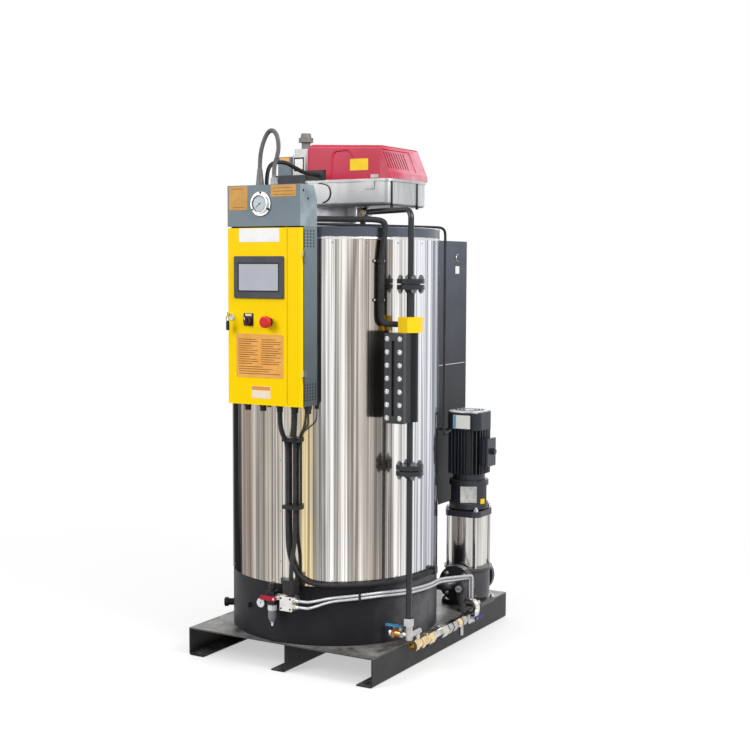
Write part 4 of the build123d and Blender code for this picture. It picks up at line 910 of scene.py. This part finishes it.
# Air tubes: two pale braided hoses side by side from the solenoid round the skirt to the blowdown
# actuator, held by one cable tie.
braid = bpy.data.materials.new("tube_braid")
braid.use_nodes = True
tree = braid.node_tree
shader = tree.nodes["Principled BSDF"]
where = add(tree, "ShaderNodeTexCoord")
weave = add(tree, "ShaderNodeTexVoronoi", {"Vector": where.outputs["Object"], "Scale": 520.0})
strand = add(tree, "ShaderNodeValToRGB", {0: weave.outputs["Distance"]})
strand.color_ramp.elements[0].color = srgb(226, 226, 228)
strand.color_ramp.elements[1].color = srgb(150, 150, 154)
tree.links.new(strand.outputs[0], shader.inputs["Base Color"])
shader.inputs["Metallic"].default_value = 0.35
tree.links.new(ranged(tree, weave.outputs["Distance"], low=0.25, high=0.5), shader.inputs["Roughness"])
raised = add(tree, "ShaderNodeBump", {"Height": weave.outputs["Distance"], "Strength": 0.3,
                                      "Distance": 0.0005})
tree.links.new(raised.outputs[0], shader.inputs["Normal"])
tube_reach = 0.398 / math.cos(math.radians(4.6))
tube_turns = ((29, 280), (38, 285), (47, 289), (56, 291.5), (65, 289), (74, 285.5), (83, 284), (92, 281.5),
              (101, 279))
for name, drop, x, z0 in (("air_tube_upper", 0, 416.5, 276), ("air_tube_lower", 12, 405.5, 254)):
    route = [mm(114, -428, z0), mm(134, -428, z0), mm(158, -426, z0 + 1)]
    route += [on_shell(a, tube_reach, (z - drop) / 1000)[0] for a, z in tube_turns]
    route += [on_shell(108, 0.4022, (276.4 - drop) / 1000)[0], mm((384 + x) / 2, 230, 264 - drop),
              mm(x - 1.5, 316, 254.2 - drop), mm(x, 335, 250 - drop), mm(x, 335, 226 - drop),
              mm(x, 335, 163.3)]
    air_tube = ribbed(name, smooth_line(route), 0.005, 0.02, 0.0, 12, braid)
    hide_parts("air_tubes")
spot, outward = on_shell(44, 0.386, 0.2815)
tube_tie = plate(bmesh.new(), spot, up.cross(outward), up, 0.008, 0.030, 0.0205, 0.003)
piece_of("air_tube_tie", tube_tie, fitting_black, "boiler")

# Burner: cast aluminium body, painted darker toward its foot as painted shade and paler on its
# right end as painted light, on a flanged neck painted lighter as painted light, under a pressed
# hood in crimson enamel with vent slots in its sloping end, which is painted pale toward the back
# as a painted highlight, with dark floors of painted shade in the slots, and a bare yellow plate on
# its face.
cast_silver = finish("cast_silver", srgb(146, 147, 150), srgb(158, 158, 158), (0.3, 0.44), patch=5,
                     fine=900, relief=0.12, stretch=(3, 3, 0.4), Metallic=0.6)
# Painted shade and light: darker toward the body's foot, paler on its right end.
retone(cast_silver, past(cast_silver, "Z", 1.66, 1.74), srgb(182, 182, 181))
retone(cast_silver, past(cast_silver, "X", 0.2985), srgb(212, 216, 220))
# Painted light: the neck in a lighter copy of the cast silver.
neck_lit_silver = finish("neck_lit_silver", srgb(214, 213, 217), srgb(190, 190, 194), (0.35, 0.5), patch=8,
                     fine=700, relief=0.1, Metallic=0.2)
crimson = finish("crimson", srgb(197, 40, 72), srgb(185, 34, 64), (0.2, 0.3), patch=3, fine=900,
                 relief=0.02)
# Painted highlight: the sloping end pales toward the back.
sloped_end_highlight = value_of(crimson.node_tree, "MULTIPLY", past(crimson, "Y", -0.22, 0.06),
                    past(crimson, "X", 0.262))
retone(crimson, sloped_end_highlight, srgb(222, 166, 178))
fitting_pale = finish("fitting_pale", srgb(190, 182, 174), srgb(164, 154, 146), (0.3, 0.45), patch=40,
                      relief=0.08, Metallic=0.3)
plate_yellow = finish("plate_yellow", srgb(250, 210, 20), srgb(240, 198, 14), (0.35, 0.5), patch=25,
                      relief=0.03)
dress(cast_silver, "burner_body")
dress(neck_lit_silver, "burner_neck")
dress(crimson, "burner_hood")
burner_front = -130.0
front_plate("hood_plate", 139, 214, 1786, 1827, burner_front, 0.6, 2, plate_yellow, "boiler")
front_plate("hood_clip", 226, 258, 1757, 1770, burner_front, 3, 1.5, fitting_pale, "boiler")
slope_out, slope_up = Vector((94, 0, 40)).normalized(), Vector((-40, 0, 94)).normalized()
# Painted shade: dark floors laid near the top of the vent slots.
slot_shade = finish("slot_shade", srgb(72, 12, 28), srgb(58, 9, 22), (0.8, 0.9), patch=40,
                   Specular_IOR_Level=0.0)
slot_shade_floors = bmesh.new()
for i in range(9):
    plate(slot_shade_floors, mm(280, -22 + 18 * (i - 5), 1822) - slope_out * 0.018, north, slope_up, 0.0058,
          0.063, 0.0154, 0.001, steps=1)
piece_of("hood_slot_floors", slot_shade_floors, slot_shade, "boiler")
body_rods = bmesh.new()
for y in (-112, 76):
    lathe(body_rods, mm(302, y, 1652), up, [(0, 0), (0.0055, 0), (0.0055, 0.012), (0.003, 0.014),
                                            (0.003, 0.093), (0, 0.093)], sides=12)
piece_of("body_clamp_rods", body_rods, ink_black, "boiler")
spark_lead = smooth_line([mm(8, -131, 1744), mm(26, -131.8, 1743), mm(50, -131.8, 1734),
                          mm(59, -131.8, 1710), mm(52, -131.8, 1688), mm(36, -131.8, 1676),
                          mm(24, -131.4, 1674)])
ribbed("ignition_lead", spark_lead, 0.0022, 0.008, 0.0, 10, conduit_black)

# Gas train: steel pipe with a die-cast valve block, a pressure switch and a damped actuator on top.
# The plates on the switch and the valve are bare.
steel_pair = (srgb(150, 152, 153), srgb(124, 126, 128))
gas_line = zoned("gas_line", (*steel_pair, 0.6), [("X", -0.300, srgb(52, 54, 64), srgb(40, 42, 50), 0.0),
                                                   ("X", -0.1495, *steel_pair, 0.6)], (0.32, 0.48))
gas_heads = zoned("gas_heads", (srgb(112, 124, 133), srgb(98, 110, 119), 0.0),
                  [("X", -0.213, srgb(196, 198, 195), srgb(176, 178, 176), 0.2),
                   ("Z", 1.8875, srgb(128, 129, 125), srgb(110, 111, 108), 0.0)], (0.36, 0.5))
dress(gas_line, "gas_pipe")
dress(gas_heads, "gas_controls")
front_plate("gas_switch_plate", -268, -226, 1836, 1857, 26, 0.6, 1.5, label_orange, "boiler")
front_plate("gas_valve_plate", -204, -158, 1804, 1856, 24, 0.6, 1.5, ink_black, "boiler")
front_plate("gas_valve_field", -199, -163, 1812, 1850, 23.4, 0.3, 1, paper_white, "boiler")

# Conduit glands: a tapered grey boot and a plated hex gland, both screwed into the box's top, that
# take the ends of the conduit loop.
gland_mix = zoned("gland_mix", (srgb(110, 110, 112), srgb(92, 92, 94), 0.0),
                  [("X", 0.0, (0.20, 0.20, 0.21, 1), (0.12, 0.12, 0.13, 1), 1.0)], (0.2, 0.34))
dress(gland_mix, "conduit_glands")

# Side leads: a corrugated hose from the box down the jacket to the level head on two clips, and a
# thin pump lead over the lid and down the back of the jacket.
gauge_route = [mm(150, -403, 1606), mm(150, -385, 1606), mm(158, -362, 1606), mm(180, -344, 1606),
               mm(240, -300, 1606), mm(312, -248, 1606), mm(340, -228, 1598), mm(341, -227, 1570),
               mm(334, -234, 1500), mm(330, -238, 1450), mm(330, -238, 1380), mm(330, -238, 1290),
               mm(331, -237, 1258), mm(345, -233, 1244.5), mm(370, -227, 1244), mm(401, -220, 1244)]
pump_route = [mm(100, -403, 1590), mm(100, -384, 1590), mm(105, -358, 1590), mm(120, -322, 1590),
              mm(220, -94, 1590), mm(330, 158, 1590), mm(346, 194, 1589), mm(352, 208, 1575),
              mm(352, 208, 1540), mm(352, 208, 1200), mm(352, 208, 860), mm(352, 210, 820),
              mm(344, 232, 806), mm(318, 312, 806), mm(298, 372, 806), mm(284, 394, 806), mm(255, 396, 806),
              mm(205, 396, 806)]
for name, route, radius, pitch, depth in (("gauge_hose", gauge_route, 0.011, 0.005, 0.0012),
                                          ("pump_lead", pump_route, 0.005, 0.02, 0.0)):
    side_lead = ribbed(name, smooth_line(route), radius, pitch, depth, 14, conduit_black)
    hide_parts("side_leads")
clip_thick = 0.007
hose_clips = bmesh.new()
clip_screws = []
for z in (1.463, 1.327):
    foot, outward = on_shell(54.2, jacket_radius, z)
    along = up.cross(outward)
    lathe(hose_clips, foot + outward * 0.019 - up * 0.007, up, tube_profile(0.0111, 0.0130, 0.014),
          sides=20)
    plate(hose_clips, foot, along, up, 0.044, 0.012, clip_thick, 0.003, steps=2)
    clip_screws += [(foot + outward * clip_thick + along * side, outward) for side in (-0.0175, 0.0175)]
piece_of("hose_clips", hose_clips, fitting_black, "boiler")
domes("hose_clip_screws", clip_screws, 0.0036, 0.003, 0.0042, 0.0004, 12, zinc_plate)

# Water column: black-painted steam pipe over the lid's edge, bolted flange pairs, the yellow
# level head and the water gauge with its steel body, clamped cover and sight glass.
pipe_black = finish("pipe_black", srgb(38, 40, 46), srgb(29, 31, 36), (0.16, 0.3), patch=12, fine=500,
                    relief=0.08, Specular_IOR_Level=0.4)
gauge_black = finish("gauge_black", srgb(44, 46, 51), srgb(34, 35, 40), (0.25, 0.4), patch=12, fine=600,
                     relief=0.1, Specular_IOR_Level=0.5)
head_yellow = finish("head_yellow", srgb(255, 212, 24), srgb(252, 204, 14), (0.28, 0.42), patch=12,
                     fine=500, relief=0.08)
sight_glass = finish("sight_glass", srgb(26, 30, 32), srgb(18, 21, 23), (0.05, 0.12), patch=12, relief=0.01,
                     Coat_Weight=0.6)
dress(pipe_black, "steam_pipe", "column_pipes")
body_black = finish("body_black", srgb(22, 25, 29), srgb(16, 18, 22), (0.16, 0.3), patch=12, fine=600,
                    relief=0.08)
dress(gauge_black, "level_gauge_cover")
dress(body_black, "level_gauge_body")
dress(head_yellow, "level_head")
dress(sight_glass, "level_gauge_glass")
run_along = Vector((296, -175, 0)).normalized()
steam_start = mm(140, -40, 1640)
brass_tones = (0.90, 0.73, 0.45, 1), (0.66, 0.50, 0.28, 1)
nickel_tones = (0.56, 0.55, 0.54, 1), (0.36, 0.355, 0.35, 1)
brass = finish("brass", *brass_tones, (0.1, 0.24), patch=30, fine=700, relief=0.08, Metallic=1.0)
nickel_dark = finish("nickel_dark", *nickel_tones, (0.1, 0.24), patch=50, fine=800, relief=0.08,
                     Metallic=1.0)
elbow_block = lathe(bmesh.new(), steam_start - run_along * 0.014, run_along,
                    [(0, 0), (0.024, 0), (0.024, 0.030), (0, 0.030)], sides=4)
piece_of("steam_elbow_block", elbow_block, fitting_pale, "boiler")
elbow_nut = lathe(bmesh.new(), steam_start + run_along * 0.016, run_along,
                  eased_profile(0.0190, 0.026, 0.0015), sides=6)
piece_of("steam_elbow_nut", elbow_nut, brass, "boiler")
elbow_ring = lathe(bmesh.new(), steam_start + run_along * 0.042, run_along,
                   eased_profile(0.0160, 0.009, 0.001), sides=24)
piece_of("steam_elbow_ring", elbow_ring, nickel_dark, "boiler")
gauge_front = -305.0
bolt_rows = [(mm(x, gauge_front, 926 + 45.3 * i), front) for x in (395, 444) for i in range(7)]
domes("gauge_bolts", bolt_rows, 0.0075, 0.006, 0.0088, 0.0012, 16, bright_steel)
column_x, column_y = 436.0, -215.0
flange_bolts = []
for level_z in (1383, 738):
    for a in (45, 135, 225, 315):
        x = column_x + 37 * math.cos(math.radians(a))
        y = column_y + 37 * math.sin(math.radians(a))
        flange_bolts += [(mm(x, y, level_z + 18), up), (mm(x, y, level_z - 18), -up)]

hex_bolts, given, out = grower("hex_bolts", [("Radius", "Float", 0.01), ("Height", "Float", 0.008),
                                             ("Stud Radius", "Float", 0.005),
                                             ("Stud Height", "Float", 0.004),
                                             ("Washer Radius", "Float", 0.012),
                                             ("Washer Height", "Float", 0.001)])
head = add(hex_bolts, "GeometryNodeJoinGeometry")
foot = 0.0
for kind, sides in (("Washer ", 16), ("", 6), ("Stud ", 10)):
    height = given[kind + "Height"]
    disc = add(hex_bolts, "GeometryNodeMeshCylinder", {"Vertices": sides, "Radius": given[kind + "Radius"],
                                                       "Depth": height})
    middle = value_of(hex_bolts, "ADD", foot, value_of(hex_bolts, "MULTIPLY", height, 0.5))
    hex_bolts.links.new(lifted(hex_bolts, disc.outputs[0], middle), head.inputs[0])
    foot = value_of(hex_bolts, "ADD", foot, height)
end_on_marks(hex_bolts, head.outputs[0], given, out)


def hexes(name, places, radius, height, stud, stud_height, washer, washer_height, material):
    sizes = {"Radius": radius, "Height": height, "Stud Radius": stud, "Stud Height": stud_height,
             "Washer Radius": washer, "Washer Height": washer_height, "Material": material}
    return grow(name, marks(places), hex_bolts, sizes, "boiler")


bolt_dark = finish("bolt_dark", (0.20, 0.20, 0.21, 1), (0.11, 0.11, 0.12, 1), (0.16, 0.3), patch=60,
                   fine=800, relief=0.06, Metallic=1.0)
hexes("flange_bolts", flange_bolts, 0.0098, 0.008, 0.0055, 0.005, 0.0115, 0.0012, bolt_dark)

# Drain valve and line: nickel unions, brass body and run with plated fittings, and two blue-sleeved
# levers that turn by themselves.
lever_blue = finish("lever_blue", srgb(64, 138, 184), srgb(46, 116, 164), (0.3, 0.45), patch=30, fine=900,
                    relief=0.06)
lever_navy = finish("lever_navy", srgb(44, 48, 118), srgb(34, 38, 100), (0.3, 0.45), patch=30, fine=900,
                    relief=0.06)
valve_tones = zoned("valve_tones", (srgb(206, 152, 98), srgb(176, 122, 72), 0.7),
                    [("X", 0.4075, *nickel_tones, 1.0)], (0.12, 0.28))
dress(valve_tones, "drain_valve")
dress(nickel_dark, "pipe_unions")
plated_tones = (0.80, 0.77, 0.73, 1), (0.52, 0.50, 0.47, 1)
line_tones = zoned("line_tones", (*brass_tones, 1.0),
                   [("Y", -0.045, *plated_tones, 1.0), ("Y", 0.115, *brass_tones, 1.0),
                    ("Y", 0.182, *plated_tones, 1.0)], (0.08, 0.22))
dress(line_tones, "drain_line")
dress(lever_blue, "drain_lever")
dress(lever_navy, "blowdown_lever")

# Blowdown actuator: grey cast cylinder lying on a foot beside the pump, with a slotted pale cap on
# its front end.
actuator_grey = finish("actuator_grey", srgb(78, 79, 82), srgb(62, 63, 66), (0.35, 0.5), patch=20, fine=700,
                       relief=0.15)
dress(actuator_grey, "blowdown_actuator")
dull_silver = finish("dull_silver", srgb(206, 206, 208), srgb(180, 180, 184), (0.35, 0.5), patch=40,
                     relief=0.06, Metallic=0.2)
front_disc("actuator_cap", 373, 198, 302, 12.5, 2.0, dull_silver, "boiler")
front_plate("actuator_slot", 365, 381, 196.6, 199.4, 300, 0.2, 0.8, ink_black, "boiler")

# Feed pump: black cast base, head and motor, polished sleeve between them on tie rods, sheet cowl
# with a bare plate, bright guards round the lantern and plated nuts and bolts.
pump_black = finish("pump_black", srgb(38, 41, 50), srgb(28, 31, 39), (0.24, 0.4), patch=14, fine=700,
                    relief=0.14, Specular_IOR_Level=0.5)
sleeve_steel = finish("sleeve_steel", (0.78, 0.765, 0.74, 1), (0.28, 0.265, 0.25, 1), (0.1, 0.22), patch=22,
                      fine=500, relief=0.04, stretch=(1, 1, 0.02), Metallic=1.0)
cowl_black = finish("cowl_black", srgb(46, 50, 58), srgb(36, 40, 47), (0.14, 0.26), patch=14, fine=700,
                    relief=0.04, dusty=3.0)
cowl_black.node_tree.nodes["dust"].inputs["Dust"].default_value = srgb(222, 224, 226)
dress(pump_black, "pump_head", "motor_frame")
dress(cowl_black, "motor_cowl")
dress(sleeve_steel, "pump_sleeve")
pump_cast = finish("pump_cast", srgb(55, 56, 60), srgb(42, 43, 48), (0.24, 0.4), patch=12, fine=600,
                   relief=0.16, dusty=0.5, Specular_IOR_Level=0.6)
dress(pump_cast, "pump_base", "feed_pipe")
front_plate("cowl_plate", 287, 361, 809, 862, 416, 0.6, 2, paper_white, "boiler")
pale_blue = finish("pale_blue", srgb(120, 176, 204), srgb(104, 160, 190), (0.4, 0.5), patch=30)
front_plate("cowl_plate_band", 288, 300, 810, 861, 415.4, 0.2, 1, pale_blue, "boiler")
pump_x, pump_y = 324.0, 488.0
pump_place = mm(pump_x, pump_y, 0)
guards = bmesh.new()
for degrees in (25, 115, 205, 295):
    spot, outward = on_shell(degrees, 0.058, 0.546)
    plate(guards, spot + pump_place, up.cross(outward), up, 0.066, 0.068, 0.0012, 0.003)
piece_of("lantern_guards", guards, nickel_dark, "boiler")
spot, outward = on_shell(70, 0.0772, 0.520)
tag = plate(bmesh.new(), spot + pump_place, up.cross(outward), up, 0.022, 0.020, 0.0016, 0.002)
piece_of("lantern_tag", tag, plate_yellow, "boiler")


def pump_corners(reach_x, reach_y, z):
    return [(mm(pump_x + sx * reach_x, pump_y + sy * reach_y, z), up) for sx in (-1, 1) for sy in (-1, 1)]


hexes("head_nuts", pump_corners(60.8, 60.8, 483), 0.0095, 0.009, 0.0055, 0.006, 0.0115, 0.0015, zinc_plate)
port_bolts = [(mm(pump_x + 54 * math.cos(a), 370, 200 + 54 * math.sin(a)), front)
              for a in map(math.radians, (45, 135, 225, 315))]
foot_bolts = pump_corners(76, 62, 120)
hexes("pump_bolts", port_bolts + foot_bolts, 0.0085, 0.007, 0.005, 0.004, 0.0105, 0.0012, zinc_plate)

# Rear casing: folded sheet in dark satin paint, painted paler toward its top as painted light, with
# two covers, a bright strip along their joint as a painted highlight, a bare tag and a cam lock on
# its right side.
casing_slate = finish("casing_slate", srgb(17, 18, 24), srgb(14, 15, 20), (0.34, 0.48), patch=6, fine=800,
                      relief=0.12, dusty=0.2)
# Painted light: paler toward the top of the casing.
retone(casing_slate, past(casing_slate, "Z", 0.88, 1.5), srgb(76, 82, 95), srgb(64, 70, 82))
dress(casing_slate, "rear_casing")
casing_tag = plate(bmesh.new(), mm(208, 600, 1431), north, up, 0.034, 0.030, 0.0006, 0.002)
piece_of("casing_tag", casing_tag, paper_white, "boiler")
# Painted highlight: a thin bright strip along the covers' joint; the ring round the lock is plated metal.
casing_highlight_and_lock = plate(bmesh.new(), mm(205, 548.5, 1051.5), north, up, 0.256, 0.0034, 0.0012, 0.0008, steps=2)
lock_ring = [(0.0121, 0), (0.0150, 0), (0.0150, 0.002), (0.0140, 0.003), (0.0121, 0.003), (0.0121, 0)]
lathe(casing_highlight_and_lock, mm(208, 600, 1480), east, lock_ring, sides=28)
piece_of("casing_highlight_and_lock", casing_highlight_and_lock, zinc_plate, "boiler")
